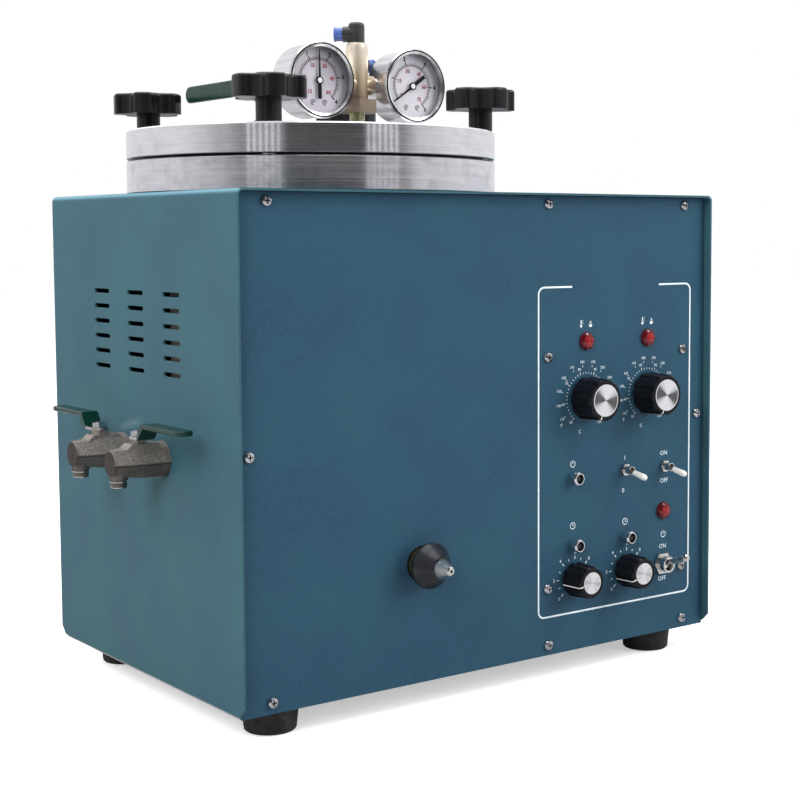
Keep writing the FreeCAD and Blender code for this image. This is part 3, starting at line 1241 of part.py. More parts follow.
def dial(at, radius, height, cap_r):
    """Fluted knob, its metal cap and the shaft it turns."""
    back = DIAL_OFF
    nose_r = radius - DIAL_TAPER
    outline = [(DIAL_HOLLOW_R, back), (radius - 0.5, back), (radius, back + 0.8), (nose_r, height - 1.2),
               (nose_r - 1.2, height), (cap_r + RUN, height), (cap_r + RUN, height - CAP_T + CAP_PROUD),
               (0, height - CAP_T + CAP_PROUD), (0, back + DIAL_HOLLOW_L), (DIAL_HOLLOW_R, back + DIAL_HOLLOW_L)]
    body = revolve(outline)
    flutes = []
    for i in range(DIAL_FLUTES):
        a = 2 * pi * (i + 0.5) / DIAL_FLUTES
        foot_r = radius + DIAL_FLUTE_R - DIAL_FLUTE_DEPTH
        nose_at = nose_r + DIAL_FLUTE_R - DIAL_FLUTE_DEPTH
        foot = V(foot_r * cos(a), foot_r * sin(a), back - 1)
        tip = V(nose_at * cos(a), nose_at * sin(a), height + 1)
        flutes.append(rod(foot, tip - foot, DIAL_FLUTE_R, (tip - foot).Length))
    shaft_to = height - CAP_T + CAP_PROUD - 2.5
    shaft_from = -PANEL_T - SHAFT_IN
    shaft = rod(V(0, 0, shaft_from), Z_AXIS, SHAFT_R, shaft_to - shaft_from)
    bore = rod(V(0, 0, 0), Z_AXIS, SHAFT_R + RUN, shaft_to + RUN)
    body = body.cut(flutes + [bore])
    cap = rod(V(0, 0, height - CAP_T + CAP_PROUD + RUN), Z_AXIS, cap_r, CAP_T - RUN)
    return place(group([body, cap, shaft]), front(at[0], at[1]), -Y_AXIS)


def toggle_sizes(name):
    """Radii and lengths of a switch: small ones, and the larger power switch."""
    if name == "power":
        return {"bush": POWER_BUSH_R, "reach": POWER_BUSH_REACH, "nut": POWER_NUT_AF, "bat": POWER_BAT_R,
                "ball": POWER_BALL_R, "sleeve": POWER_SLEEVE_R, "length": POWER_BAT_L,
                "sleeve_l": POWER_SLEEVE_L, "body": POWER_BODY}
    return {"bush": SMALL_BUSH_R, "reach": SMALL_BUSH_REACH, "nut": SMALL_NUT_AF, "bat": SMALL_BAT_R,
            "ball": SMALL_BALL_R, "sleeve": SMALL_SLEEVE_R, "length": SMALL_BAT_L,
            "sleeve_l": SMALL_SLEEVE_L, "body": TOGGLE_BODY}


def toggle_place(name):
    return on_panel([TOGGLES[name][0]])[0]


def toggle_pivot(name):
    size = toggle_sizes(name)
    x, z = toggle_place(name)
    return front(x, z, size["reach"] - size["ball"] - 1.6)


def toggle_body(name):
    """Switch body behind the panel, threaded bushing through it and the nut outside."""
    size = toggle_sizes(name)
    x, z = toggle_place(name)
    wide, deep, high = size["body"][0], size["body"][2], size["body"][1]
    case = box(span(x, wide), (FRONT_BACK, FRONT_BACK + deep), span(z, high))
    bush = rod(front(x, z, size["reach"]), Y_AXIS, size["bush"], size["reach"] + PANEL_T + 1)
    lugs = [box(span(x, TAB_W * 1.5), (FRONT_BACK + deep - 1, FRONT_BACK + deep + TAB_L), span(z + i * high / 3, 0.8))
            for i in (-1, 0, 1)]
    mouth_r = size["ball"] + LOOSE
    way = rod(front(x, z, size["reach"] + 1), Y_AXIS, mouth_r, size["ball"] * 2 + 3.6)
    nut = hex_bar(front(x, z), -Y_AXIS, size["nut"], TOGGLE_NUT_T)
    nut = nut.cut(rod(front(x, z), -Y_AXIS, size["bush"] + RUN, TOGGLE_NUT_T))
    return [fuse([case, bush] + lugs).cut(way), nut]


def toggle_bodies():
    return group([solid for name in TOGGLES for solid in toggle_body(name)])


def toggle_lever(name):
    """Bat lever with a ball at its pivot and a white sleeve on its end."""
    size = toggle_sizes(name)
    tip = size["length"]
    sleeve_at = tip - size["sleeve_l"]
    ball = Part.makeSphere(size["ball"])
    bat = Part.makeCone(size["bat"], size["bat"] * 1.15, sleeve_at + 2)
    sleeve = [(0, sleeve_at), (size["sleeve"] * 0.8, sleeve_at), (size["sleeve"], tip - size["sleeve"]),
              (size["sleeve"] * 0.75, tip - 0.6), (size["sleeve"] * 0.3, tip), (0, tip)]
    lever = fuse([ball, bat])
    cap = revolve(sleeve).cut(rod(V(0, 0, 0), Z_AXIS, size["bat"] * 1.15 + RUN, sleeve_at + 2 + RUN))
    lever = group([lever, cap])
    # tilt in the upright plane: built along -Y, then turned up or down about X
    place(lever, V(0, 0, 0), -Y_AXIS)
    lever.rotate(V(0, 0, 0), X_AXIS, -TOGGLE_THROW[name] * TOGGLES[name][1])
    lever.translate(toggle_pivot(name))
    return lever


# ================================================================ works inside
def pump_plate_z():
    return PAN_TOP + MOUNT_H


def pump_mounts():
    """Steel plate on four rubber bushes."""
    length, width, thick = PUMP_PLATE
    bottom = pump_plate_z()
    plate = box(span(PUMP_X, length), span(PUMP_Y, width), (bottom, bottom + thick))
    pieces = [plate]
    for sx in (-1, 1):
        for sy in (-1, 1):
            at = V(PUMP_X + sx * (length / 2 - MOUNT_R - 2), PUMP_Y + sy * (width / 2 - MOUNT_R - 2), PAN_TOP)
            outline = [(0, 0), (MOUNT_R, 0), (MOUNT_R - 1.5, MOUNT_H / 2), (MOUNT_R, MOUNT_H), (0, MOUNT_H)]
            pieces.append(place(revolve(outline), at, Z_AXIS))
    return group(pieces)


def motor_axis_z():
    return pump_plate_z() + PUMP_PLATE[2] + MOTOR_LIFT + MOTOR_R


def pump_motor():
    start = PUMP_Y + PUMP_PLATE[1] / 2 - MOTOR_L
    axis_z = motor_axis_z()
    can = rod(V(PUMP_X, start, axis_z), Y_AXIS, MOTOR_R, MOTOR_L)
    boss = rod(V(PUMP_X, start + MOTOR_L, axis_z), Y_AXIS, MOTOR_R / 3, MOTOR_BOSS_L)
    saddle = box(span(PUMP_X, MOTOR_R * 1.4), span(start + MOTOR_L / 2, MOTOR_L - SADDLE_SHORT),
                 (pump_plate_z() + PUMP_PLATE[2], axis_z - MOTOR_R * 0.6))
    return fuse([can, boss, saddle])


def pump_head():
    end = PUMP_Y + PUMP_PLATE[1] / 2 - MOTOR_L
    axis_z = motor_axis_z()
    body = box(span(PUMP_X, HEAD_W), (end - HEAD_L, end), span(axis_z, HEAD_H))
    upright = [e for e in body.Edges if abs(e.Vertexes[0].Y - e.Vertexes[-1].Y) > 1]
    body = body.makeFillet(HEAD_EDGE_R, upright)
    ports = [rod(V(PUMP_X + i * HEAD_W / 4, end - HEAD_L / 2, axis_z + HEAD_H / 2 - 1), Z_AXIS,
                 HEAD_PORT_R, HEAD_PORT_L) for i in (-1, 1)]
    return fuse([body] + ports)


def transformer():
    core = box(span(TRAFO_X, TRAFO_CORE[0]), span(TRAFO_Y, TRAFO_CORE[1]), (PAN_TOP, PAN_TOP + TRAFO_CORE[2]))
    middle = PAN_TOP + TRAFO_CORE[2] / 2
    coil = box(span(TRAFO_X, TRAFO_COIL[0]), span(TRAFO_Y, TRAFO_COIL[1]), span(middle, TRAFO_COIL[2]))
    coil = coil.makeFillet(3, [e for e in coil.Edges if abs(e.Vertexes[0].Z - e.Vertexes[-1].Z) > 1])
    feet = box(span(TRAFO_X, TRAFO_FEET[0]), span(TRAFO_Y, TRAFO_FEET[1]), (PAN_TOP, PAN_TOP + TRAFO_FEET[2]))
    return fuse([core, coil, feet])


def control_board():
    """Circuit board on four pillars off the right wall, with its larger parts."""
    back_x = WALL_IN - BOARD_OFF
    face_x = back_x - BOARD_T
    board = box((face_x, back_x), BOARD_Y, BOARD_Z)
    parts = [board]
    for y in (BOARD_Y[0] + STANDOFF_INSET, BOARD_Y[1] - STANDOFF_INSET):
        for z in (BOARD_Z[0] + STANDOFF_INSET, BOARD_Z[1] - STANDOFF_INSET):
            parts.append(rod(V(back_x - ROOT, y, z), X_AXIS, STANDOFF_R, BOARD_OFF + ROOT))
    for i in range(RELAYS):
        y = BOARD_Y[0] + RELAY_FIRST[0] + i * RELAY_PITCH
        z = BOARD_Z[0] + RELAY_FIRST[1]
        parts.append(box((face_x - RELAY[2], face_x + ROOT), span(y, RELAY[1]), span(z, RELAY[0])))
    for i in range(CAPACITORS):
        z = BOARD_Z[1] - CAPACITOR_FIRST[1] - i * CAPACITOR_PITCH
        at = V(face_x + ROOT, BOARD_Y[1] - CAPACITOR_FIRST[0], z)
        parts.append(rod(at, -X_AXIS, CAPACITOR_R, CAPACITOR_L))
    sink_y = BOARD_Y[0] + SINK_FIRST
    sink_z = (BOARD_Z[1] - SINK_DOWN[0], BOARD_Z[1] - SINK_DOWN[1])
    for i in range(SINK_FINS):
        fin = span(sink_y + i * SINK_PITCH, SINK_FIN[1])
        parts.append(box((face_x - SINK_FIN[0], face_x), fin, sink_z))
    parts.append(box((face_x - SINK_BASE, face_x + ROOT),
                     (sink_y - SINK_BASE, sink_y + SINK_BASE + (SINK_FINS - 1) * SINK_PITCH), sink_z))
    return fuse(parts)


def solenoid_valves():
    """Two coil valves that hang on the threads of the back ports."""
    valves = []
    for x in PORT_AT_X:
        near = REAR_INNER - PORT_NUT_T
        body = box(span(x, SOLENOID_BODY[0]), (near - SOLENOID_BODY[1], near), span(PORT_Z, SOLENOID_BODY[2]))
        coil = box(span(x, SOLENOID_COIL[0]), (near - SOLENOID_COIL[1] - 1, near - 1),
                   (PORT_Z + SOLENOID_BODY[2] / 2, PORT_Z + SOLENOID_BODY[2] / 2 + SOLENOID_COIL[2]))
        coil = coil.makeFillet(2.5, [e for e in coil.Edges if abs(e.Vertexes[0].Z - e.Vertexes[-1].Z) > 1])
        stem = rod(V(x, near - SOLENOID_COIL[1] / 2 - 1, PORT_Z), Z_AXIS, 5,
                   SOLENOID_BODY[2] / 2 + SOLENOID_COIL[2] + 3)
        thread = rod(V(x, near + 1, PORT_Z), -Y_AXIS, PORT_THREAD_R + RUN, 11)
        valves.append(fuse([body, coil, stem]).cut(thread))
    return group(valves)


def air_port(x):
    """Bulkhead push-fit: body outside, thread through the panel and its nut."""
    face = V(x, REAR_FACE, PORT_Z)
    tail = RING_R - 0.9
    body = [(0, -PORT_THREAD_L), (PORT_THREAD_R, -PORT_THREAD_L), (PORT_THREAD_R, 0), (PORT_BODY_R, 0),
            (PORT_BODY_R, PORT_BODY_L - 0.8), (PORT_BODY_R - 0.8, PORT_BODY_L), (tail + RUN, PORT_BODY_L),
            (tail + RUN, PORT_BODY_L - RING_TAIL_L - LOOSE), (TUBE_OD / 2 + RUN, PORT_BODY_L - RING_TAIL_L - LOOSE),
            (TUBE_OD / 2 + RUN, PORT_BODY_L - ELBOW_BORE_L), (0, PORT_BODY_L - ELBOW_BORE_L)]
    fitting = place(revolve(body), face, Y_AXIS)
    inner = V(x, REAR_INNER - PORT_NUT_T, PORT_Z)
    nut = hex_bar(inner, Y_AXIS, PORT_NUT_AF, PORT_NUT_T)
    nut = nut.cut(rod(inner, Y_AXIS, PORT_THREAD_R + RUN, PORT_NUT_T))
    return [fitting, nut, release_ring(V(x, REAR_FACE + PORT_BODY_L, PORT_Z), Y_AXIS, RING_L)]


def air_ports():
    return group([solid for x in PORT_AT_X for solid in air_port(x)])


def power_inlet():
    """Mains inlet: flange, well with three blades and the fuse drawer above it."""
    flange = box(span(INLET_X, INLET_FLANGE[0]), (REAR_FACE, REAR_FACE + INLET_FLANGE[1]),
                 span(INLET_Z, INLET_FLANGE[2]))
    flange = flange.makeFillet(2.5, [e for e in flange.Edges if abs(e.Vertexes[0].Y - e.Vertexes[-1].Y) > 1])
    body = box(span(INLET_X, INLET_BODY[0]), (REAR_FACE - INLET_BODY[1], REAR_FACE + 1), span(INLET_Z, INLET_BODY[2]))
    well_z = INLET_Z - INLET_WELL_DROP
    mouth = REAR_FACE + INLET_FLANGE[1]
    well = box(span(INLET_X, INLET_WELL[0]), (mouth - INLET_WELL[1], mouth + 1), span(well_z, INLET_WELL[2]))
    drawer_z = INLET_Z + INLET_BODY[2] / 2 - FUSE_DRAWER[1] / 2 - 2
    outer = box(span(INLET_X, FUSE_DRAWER[0] + 1), (mouth - 0.6, mouth + 1), span(drawer_z, FUSE_DRAWER[1] + 1))
    inner = box(span(INLET_X, FUSE_DRAWER[0]), (mouth - 0.6, mouth + 1), span(drawer_z, FUSE_DRAWER[1]))
    shell = fuse([flange, body]).cut([well, outer.cut(inner)])
    blades = []
    for i in (-1, 0, 1):
        z = well_z + (2.0 if i else 4.0)
        blades.append(box(span(INLET_X + i * INLET_BLADE_PITCH, INLET_BLADE[0]),
                          (mouth - INLET_WELL[1] - 1, mouth - INLET_WELL[1] + INLET_BLADE[1]),
                          span(z, INLET_BLADE[2])))
    return fuse([shell] + blades)


# ================================================================ nodes
def nodes():
    made = {
        "cover": cover, "front_panel": front_panel, "back_panel": back_panel, "bottom_pan": bottom_pan,
        "rubber_feet": rubber_feet, "case_screws": case_screws, "control_frame": control_frame,
        "wax_pot": wax_pot, "pot_gasket": pot_gasket, "heater_band": heater_band,
        "pot_insulation": pot_insulation, "pot_legs": pot_legs, "lid_studs": lid_studs,
        "lid_plate": lid_plate, "gauge_manifold": gauge_manifold, "elbow_fittings": elbow_fittings,
        "release_rings": release_rings, "gauge_cases": gauge_cases, "gauge_dials": gauge_dials,
        "gauge_lenses": gauge_lenses, "lid_valve_body": lid_valve_body, "lid_valve_lever": lid_valve_lever,
        "lid_valve_ball": lid_valve_ball, "lid_plug": lid_plug, "side_valve_bodies": side_valve_bodies,
        "injector_block": injector_block, "block_heater": block_heater, "nozzle_switch": nozzle_switch,
        "injection_nozzle": injection_nozzle, "nozzle_collar": nozzle_collar, "nozzle_spring": nozzle_spring,
        "indicator_lamps": indicator_lamps, "led_bezels": led_bezels,
        "dial_potentiometers": dial_potentiometers, "toggle_bodies": toggle_bodies,
        "pump_mounts": pump_mounts, "pump_motor": pump_motor, "pump_head": pump_head,
        "transformer": transformer, "control_board": control_board, "solenoid_valves": solenoid_valves,
        "air_ports": air_ports, "power_inlet": power_inlet,
    }
    shapes = {name: make() for name, make in made.items()}
    for i, corner in enumerate(("back_right", "back_left", "front_left", "front_right")):
        shapes["star_knob_" + corner] = star_knob(i)
    shapes["gauge_needle_left"] = gauge_needle(0, NEEDLE_REST_LEFT)
    shapes["gauge_needle_right"] = gauge_needle(1, NEEDLE_REST_RIGHT)
    for i, end in enumerate(("rear", "front")):
        shapes["side_lever_" + end] = side_valve_lever(i)
        shapes["side_ball_" + end] = side_valve_ball(i)
    for i, at in enumerate(on_panel(TEMP_DIAL_AT)):
        shapes["temp_dial_%d" % (i + 1)] = dial(at, TEMP_DIAL_R, TEMP_DIAL_H, TEMP_CAP_R)
    for i, at in enumerate(on_panel(TIME_DIAL_AT)):
        shapes["time_dial_%d" % (i + 1)] = dial(at, TIME_DIAL_R, TIME_DIAL_H, TIME_CAP_R)
    for name in TOGGLES:
        shapes["toggle_" + name] = toggle_lever(name)
    return shapes


def save(name, shape):
    shape.translate(-ORIGIN)
    shape.exportStep("parts/" + name + ".step")
    return shape


def main():
    os.makedirs("parts", exist_ok=True)
    for name, shape in nodes().items():
        made = save(name, shape)
        bad = "" if made.isValid() else "  NOT VALID"
        print("%-22s %2d solids %10.0f mm3%s" % (name, len(made.Solids), made.Volume, bad))


main()
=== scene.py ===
import math

import bmesh
import bpy
from mathutils import Matrix, Vector

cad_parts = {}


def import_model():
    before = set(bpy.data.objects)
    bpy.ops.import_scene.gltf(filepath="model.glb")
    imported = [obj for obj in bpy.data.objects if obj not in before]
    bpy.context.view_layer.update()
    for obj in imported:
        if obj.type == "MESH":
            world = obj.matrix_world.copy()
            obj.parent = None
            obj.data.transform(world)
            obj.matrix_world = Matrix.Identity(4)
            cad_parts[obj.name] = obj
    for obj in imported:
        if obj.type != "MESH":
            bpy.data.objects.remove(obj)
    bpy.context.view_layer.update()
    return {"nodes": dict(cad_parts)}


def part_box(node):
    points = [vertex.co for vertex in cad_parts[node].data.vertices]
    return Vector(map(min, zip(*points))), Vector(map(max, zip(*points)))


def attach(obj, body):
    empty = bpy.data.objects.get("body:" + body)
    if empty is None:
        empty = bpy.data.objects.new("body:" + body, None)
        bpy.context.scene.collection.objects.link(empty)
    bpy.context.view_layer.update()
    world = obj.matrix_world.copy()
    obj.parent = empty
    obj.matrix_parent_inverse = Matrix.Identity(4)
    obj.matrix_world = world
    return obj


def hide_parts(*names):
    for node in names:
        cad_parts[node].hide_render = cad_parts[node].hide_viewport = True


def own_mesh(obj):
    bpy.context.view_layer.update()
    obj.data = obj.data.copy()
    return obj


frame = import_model()
NODES = frame["nodes"]
MM = 0.001

# ------------------------------------------------------------------ places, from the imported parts
CASE_LOW, CASE_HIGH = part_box("cover")
MIDDLE_X = (CASE_LOW.x + CASE_HIGH.x) / 2
MIDDLE_Y = (CASE_LOW.y + CASE_HIGH.y) / 2
PANEL_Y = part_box("front_panel")[0].y
INK = 0.06 * MM            # how far print lies in front of its surface


def at(x, y, z):
    """A point from millimetres right of, behind and above the middle of the case's floor."""
    return Vector((MIDDLE_X + x * MM, MIDDLE_Y + y * MM, z * MM))


def on_panel(x, z, off=0.0):
    return Vector((MIDDLE_X + x * MM, PANEL_Y - off * MM, z * MM))


def centre(node):
    low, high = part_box(node)
    return (low + high) / 2


def ball_middle(node):
    """Middle of an upright valve's ball; the node also has the stem above it."""
    low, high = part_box(node)
    return Vector(((low.x + high.x) / 2, (low.y + high.y) / 2, low.z + (high.y - low.y) / 2))


# ------------------------------------------------------------------ node materials
class Graph:
    """A node material under construction; helpers return the socket that holds their result."""

    def __init__(self, name, owner=None):
        self.material = owner or bpy.data.materials.new(name)
        self.material.use_nodes = True
        tree = self.material.node_tree
        self.nodes = tree.nodes
        self.links = tree.links
        self.shader = self.nodes.get("Principled BSDF")
        self.place = self.nodes.new("ShaderNodeTexCoord").outputs["Object"]

    def put(self, socket, value):
        if isinstance(value, bpy.types.NodeSocket):
            self.links.new(value, socket)
        else:
            socket.default_value = value

    def set(self, **sockets):
        """Set the main shader's sockets; an underscore stands for a space."""
        for name, value in sockets.items():
            self.put(self.shader.inputs[name.replace("_", " ")], value)

    def scaled(self, x, y, z):
        made = self.nodes.new("ShaderNodeMapping")
        self.put(made.inputs["Vector"], self.place)
        made.inputs["Scale"].default_value = (x, y, z)
        return made.outputs["Vector"]

    def noise(self, scale, detail=3.0, stretch=None):
        made = self.nodes.new("ShaderNodeTexNoise")
        self.put(made.inputs["Vector"], self.scaled(*stretch) if stretch else self.place)
        made.inputs["Scale"].default_value = scale
        made.inputs["Detail"].default_value = detail
        return made.outputs["Fac"]

    def cells(self, scale):
        made = self.nodes.new("ShaderNodeTexVoronoi")
        self.put(made.inputs["Vector"], self.place)
        made.inputs["Scale"].default_value = scale
        return made.outputs["Distance"]

    def ramp(self, value, *stops):
        """Colours by position: stops are (position, (r, g, b))."""
        made = self.nodes.new("ShaderNodeValToRGB")
        self.put(made.inputs["Fac"], value)
        points = made.color_ramp.elements
        while len(points) < len(stops):
            points.new(0.5)
        for point, (position, colour) in zip(points, stops):
            point.position = position
            point.color = (*colour, 1.0)
        return made.outputs["Color"]

    def span(self, value, low, high, start=0.0, end=1.0):
        made = self.nodes.new("ShaderNodeMapRange")
        self.put(made.inputs["Value"], value)
        for name, number in (("From Min", start), ("From Max", end), ("To Min", low), ("To Max", high)):
            made.inputs[name].default_value = number
        return made.outputs["Result"]

    def calc(self, operation, first, second=0.0):
        """One step of arithmetic, by the Math node's name for it."""
        made = self.nodes.new("ShaderNodeMath")
        made.operation = operation
        self.put(made.inputs[0], first)
        self.put(made.inputs[1], second)
        return made.outputs[0]

    def plus(self, first, second):
        return self.calc("ADD", first, second)

    def times(self, first, second):
        return self.calc("MULTIPLY", first, second)

    def size(self, value):
        """A value without its sign."""
        return self.calc("ABSOLUTE", value)

    def distance(self, a, b):
        """Length of the line whose two shares at right angles are a and b."""
        return self.calc("SQRT", self.plus(self.times(a, a), self.times(b, b)))

    def mix(self, factor, first, second):
        made = self.nodes.new("ShaderNodeMix")
        made.data_type = "RGBA"
        self.put(made.inputs["Factor"], factor)
        colours = [socket for socket in made.inputs if socket.type == "RGBA"]
        for socket, value in zip(colours, (first, second)):
            self.put(socket, value if isinstance(value, bpy.types.NodeSocket) else (*value, 1.0))
        return [socket for socket in made.outputs if socket.type == "RGBA"][0]

    def bump(self, height, strength, depth):
        made = self.nodes.new("ShaderNodeBump")
        self.put(made.inputs["Height"], height)
        made.inputs["Strength"].default_value = strength
        made.inputs["Distance"].default_value = depth
        return made.outputs["Normal"]

    def dot(self, vector, axis):
        made = self.nodes.new("ShaderNodeVectorMath")
        made.operation = "DOT_PRODUCT"
        self.put(made.inputs[0], vector)
        made.inputs[1].default_value = axis
        return made.outputs["Value"]

    def from_point(self, point):
        """Separate x, y and z of the place measured from a point."""
        moved = self.nodes.new("ShaderNodeVectorMath")
        moved.operation = "SUBTRACT"
        self.put(moved.inputs[0], self.place)
        moved.inputs[1].default_value = tuple(point)
        split = self.nodes.new("ShaderNodeSeparateXYZ")
        self.put(split.inputs[0], moved.outputs[0])
        return split.outputs


def plain(name, colour, worn, roughness, metallic=0.0, scale=90.0, grain=700.0, depth=0.02, shine=0.5):
    """A finish whose colour and gloss drift a little, over a fine grain."""
    g = Graph(name)
    drift = g.noise(scale, 4.0)
    g.set(Base_Color=g.ramp(drift, (0.35, colour), (0.7, worn)), Metallic=metallic, Specular_IOR_Level=shine,
          Roughness=g.span(g.noise(scale * 3), roughness * 0.8, roughness * 1.25, 0.3, 0.7),
          Normal=g.bump(g.noise(grain, 5.0), 0.5, depth * MM))
    return g.material


def powder_coat(name, deep, light, strength, marks_and_highlight=None):
    """Fine wrinkled paint: small specks of two tones and slow patches, with any scuffs and painted highlights
    on top.
    """
    g = Graph(name)
    wrinkle = g.noise(1050.0, 2.0)
    coarse = g.noise(380.0, 2.0)
    grain = g.plus(g.times(wrinkle, 0.65), g.times(coarse, 0.35))
    specks = g.ramp(grain, (0.38, deep), (0.60, light))
    green = tuple(c * k for c, k in zip(light, (0.95, 1.12, 0.98)))
    colour = g.mix(g.span(g.noise(17.0, 3.0), 0.0, 0.55, 0.38, 0.66), specks, green)
    g.set(Base_Color=marks_and_highlight(g, colour) if marks_and_highlight else colour,
          Roughness=g.span(grain, 0.46, 0.64, 0.35, 0.65), Specular_IOR_Level=0.20,
          Normal=g.bump(grain, strength, 0.22 * MM))
    return g.material


def cover_wear(g, colour):
    """A painted highlight along the case's two top bends, and a scuff on the left side over the valves."""
    aside, _, drop = g.from_point((MIDDLE_X, 0, CASE_HIGH.z))
    half = CASE_HIGH.x - MIDDLE_X
    # painted highlight: the coat is lighter along the two top bends
    edge = g.times(g.span(drop, 0.0, 0.8, -3.0 * MM, -0.8 * MM),
                   g.span(g.size(aside), 0.0, 1.0, half - 3.5 * MM, half - 1.5 * MM))
    colour = g.mix(edge, colour, BEND_HIGHLIGHT)
    _, along, up = g.from_point(ball_middle("side_ball_rear") + Vector((0, SCUFF_FORWARD, SCUFF_UP)))
    off = g.size(g.plus(up, g.times(along, SCUFF_SLOPE)))
    inside = g.times(g.span(off, 1.0, 0.0, 0.5 * MM, SCUFF_HALF_H),
                     g.span(g.size(along), 1.0, 0.0, 9 * MM, SCUFF_HALF_L))
    inside = g.times(inside, g.span(aside, 1.0, 0.0, -half, 0.0))
    scratches = g.span(g.noise(1.0, 5.0, (1100.0, 520.0, 1500.0)), 0.0, 1.0, 0.46, 0.66)
    return g.mix(g.times(g.times(inside, scratches), SCUFF_STRENGTH), colour, SCUFF_TONE)


def turned_metal(name, bright, dull, roughness, smudge):
    """Turned aluminium: fine rings, faint bands and handling marks, painted shade in the joint and a painted
    highlight along the top edge.
    """
    g = Graph(name)
    rings = g.noise(1.0, 4.0, (6.0, 6.0, 2400.0))
    bands = g.noise(1.0, 3.0, (55.0, 55.0, 260.0))
    marks = g.noise(75.0, 6.0)
    tone = g.ramp(g.plus(g.times(rings, 0.6), g.times(bands, 0.4)), (0.38, dull), (0.60, bright))
    skin = g.mix(g.span(marks, 0.0, smudge, 0.52, 0.72), tone, (0.42, 0.41, 0.42))
    low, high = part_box("lid_plate")
    joint_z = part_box("wax_pot")[1].z + LID_GAP / 2
    top = high.z - joint_z
    outside = (high.x - low.x) / 2
    x, y, z = g.from_point(((low.x + high.x) / 2, (low.y + high.y) / 2, joint_z))
    away = g.distance(x, y)
    # painted shade in the gap between lid and flange, darkest at the outer edge
    joint = g.times(g.span(g.size(z), 1.0, 0.0, 0.90 * MM, 1.10 * MM),
                    g.span(away, 0.0, 1.0, outside - GAP_SHADE_DEPTH, outside - GAP_SHADE_DEPTH + 0.5 * MM))
    # painted highlight along the lid's top edge
    worn = g.times(g.span(z, 0.0, 1.0, top - 1.1 * MM, top - 0.9 * MM),
                   g.span(away, 0.0, 1.0, outside - 1.2 * MM, outside - 0.9 * MM))
    gap_shade = g.ramp(g.span(away, 0.0, 1.0, outside - 1.8 * MM, outside - 1.2 * MM),
                   (0.0, GAP_SHADE_INSIDE), (1.0, GAP_SHADE_AT_EDGE))
    g.set(Base_Color=g.mix(joint, g.mix(worn, skin, RIM_HIGHLIGHT), gap_shade),
          Metallic=g.calc("SUBTRACT", 1.0, g.calc("MAXIMUM", joint, worn)),
          Roughness=g.span(rings, roughness * 0.8, roughness * 1.25, 0.3, 0.7),
          Anisotropic=0.85, Anisotropic_Rotation=0.25, Normal=g.bump(rings, 0.10, 0.03 * MM))
    return g.material


def spun_metal(name, middle, radius, dark):
    """A flat cap with a painted reflection, the two bright fans that circular brushing gives with dark
    sectors between, and a painted highlight on its turned rim.
    """
    g = Graph(name)
    x, _, z = g.from_point(middle)
    away = g.distance(x, z)
    lean = math.radians(REFLECTION_FAN_MIDDLE)
    along = g.plus(g.times(x, math.cos(lean)), g.times(z, math.sin(lean)))
    # painted reflection: bright toward the fans' middle, dark across it
    reflection_fan = g.calc("DIVIDE", g.size(along), away)
    rings = g.calc("SINE", g.times(away, CAP_RINGS))
    tone = g.plus(reflection_fan, g.times(rings, 0.03))
    shade = g.ramp(tone, (0.20, (dark, dark, dark * 1.05)), (0.42, (dark * 1.6, dark * 1.6, dark * 1.66)),
                   (0.62, (0.50, 0.50, 0.52)), (0.90, (0.68, 0.68, 0.70)))
    # painted highlight on the turned rim
    rim = g.span(away, 0.0, 1.0, radius - 0.75 * MM, radius - 0.55 * MM)
    g.set(Base_Color=g.mix(rim, shade, RIM_HIGHLIGHT),
          Metallic=0.40, Roughness=0.42, Normal=g.bump(rings, 0.15, 0.02 * MM))
    return g.material


def lever_finish(name, pivot, stem_axis, bare):
    """Dark green vinyl with the bare steel strap round the stem."""
    g = Graph(name)
    ways = [g.size(way) for i, way in enumerate(g.from_point(pivot)) if i != stem_axis]
    vinyl = g.span(g.calc("MAXIMUM", *ways), 0.0, 1.0, bare - 0.15 * MM, bare + 0.15 * MM)
    drift = g.noise(160.0, 4.0)
    green = g.ramp(drift, (0.35, (0.001, 0.020, 0.014)), (0.7, (0.003, 0.034, 0.025)))
    steel = g.ramp(drift, (0.3, (0.34, 0.33, 0.32)), (0.7, (0.58, 0.57, 0.56)))
    g.set(Base_Color=g.mix(vinyl, steel, green), Metallic=g.calc("SUBTRACT", 1.0, vinyl),
          Roughness=g.span(vinyl, 0.17, 0.22), Specular_IOR_Level=0.36,
          Normal=g.bump(g.noise(420.0), 0.30, 0.06 * MM))
    return g.material


def lamp_finish():
    """Deep red lens, darker where its inside is cut, with painted shade darkest toward its rim."""
    g = Graph("lamp_red")
    facets = g.cells(420.0)
    red = g.ramp(facets, (0.10, (0.11, 0.001, 0.003)), (0.40, (0.22, 0.002, 0.005)),
                 (0.80, (0.30, 0.003, 0.008)))
    away = None
    for middle, _ in round_fronts("indicator_lamps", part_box("indicator_lamps")[0].y, 12 * MM):
        x, _, z = g.from_point(middle)
        here = g.distance(x, z)
        away = here if away is None else g.calc("MINIMUM", away, here)
    # painted shade toward the rim of each lens
    g.set(Base_Color=g.mix(g.span(away, 0.0, 0.85, 2.2 * MM, 5.2 * MM), red, (0.045, 0.001, 0.004)),
          Roughness=0.16, Specular_IOR_Level=0.35, Coat_Weight=0.35, Coat_Roughness=0.03,
          Normal=g.bump(facets, 0.12, 0.20 * MM))
    return g.material


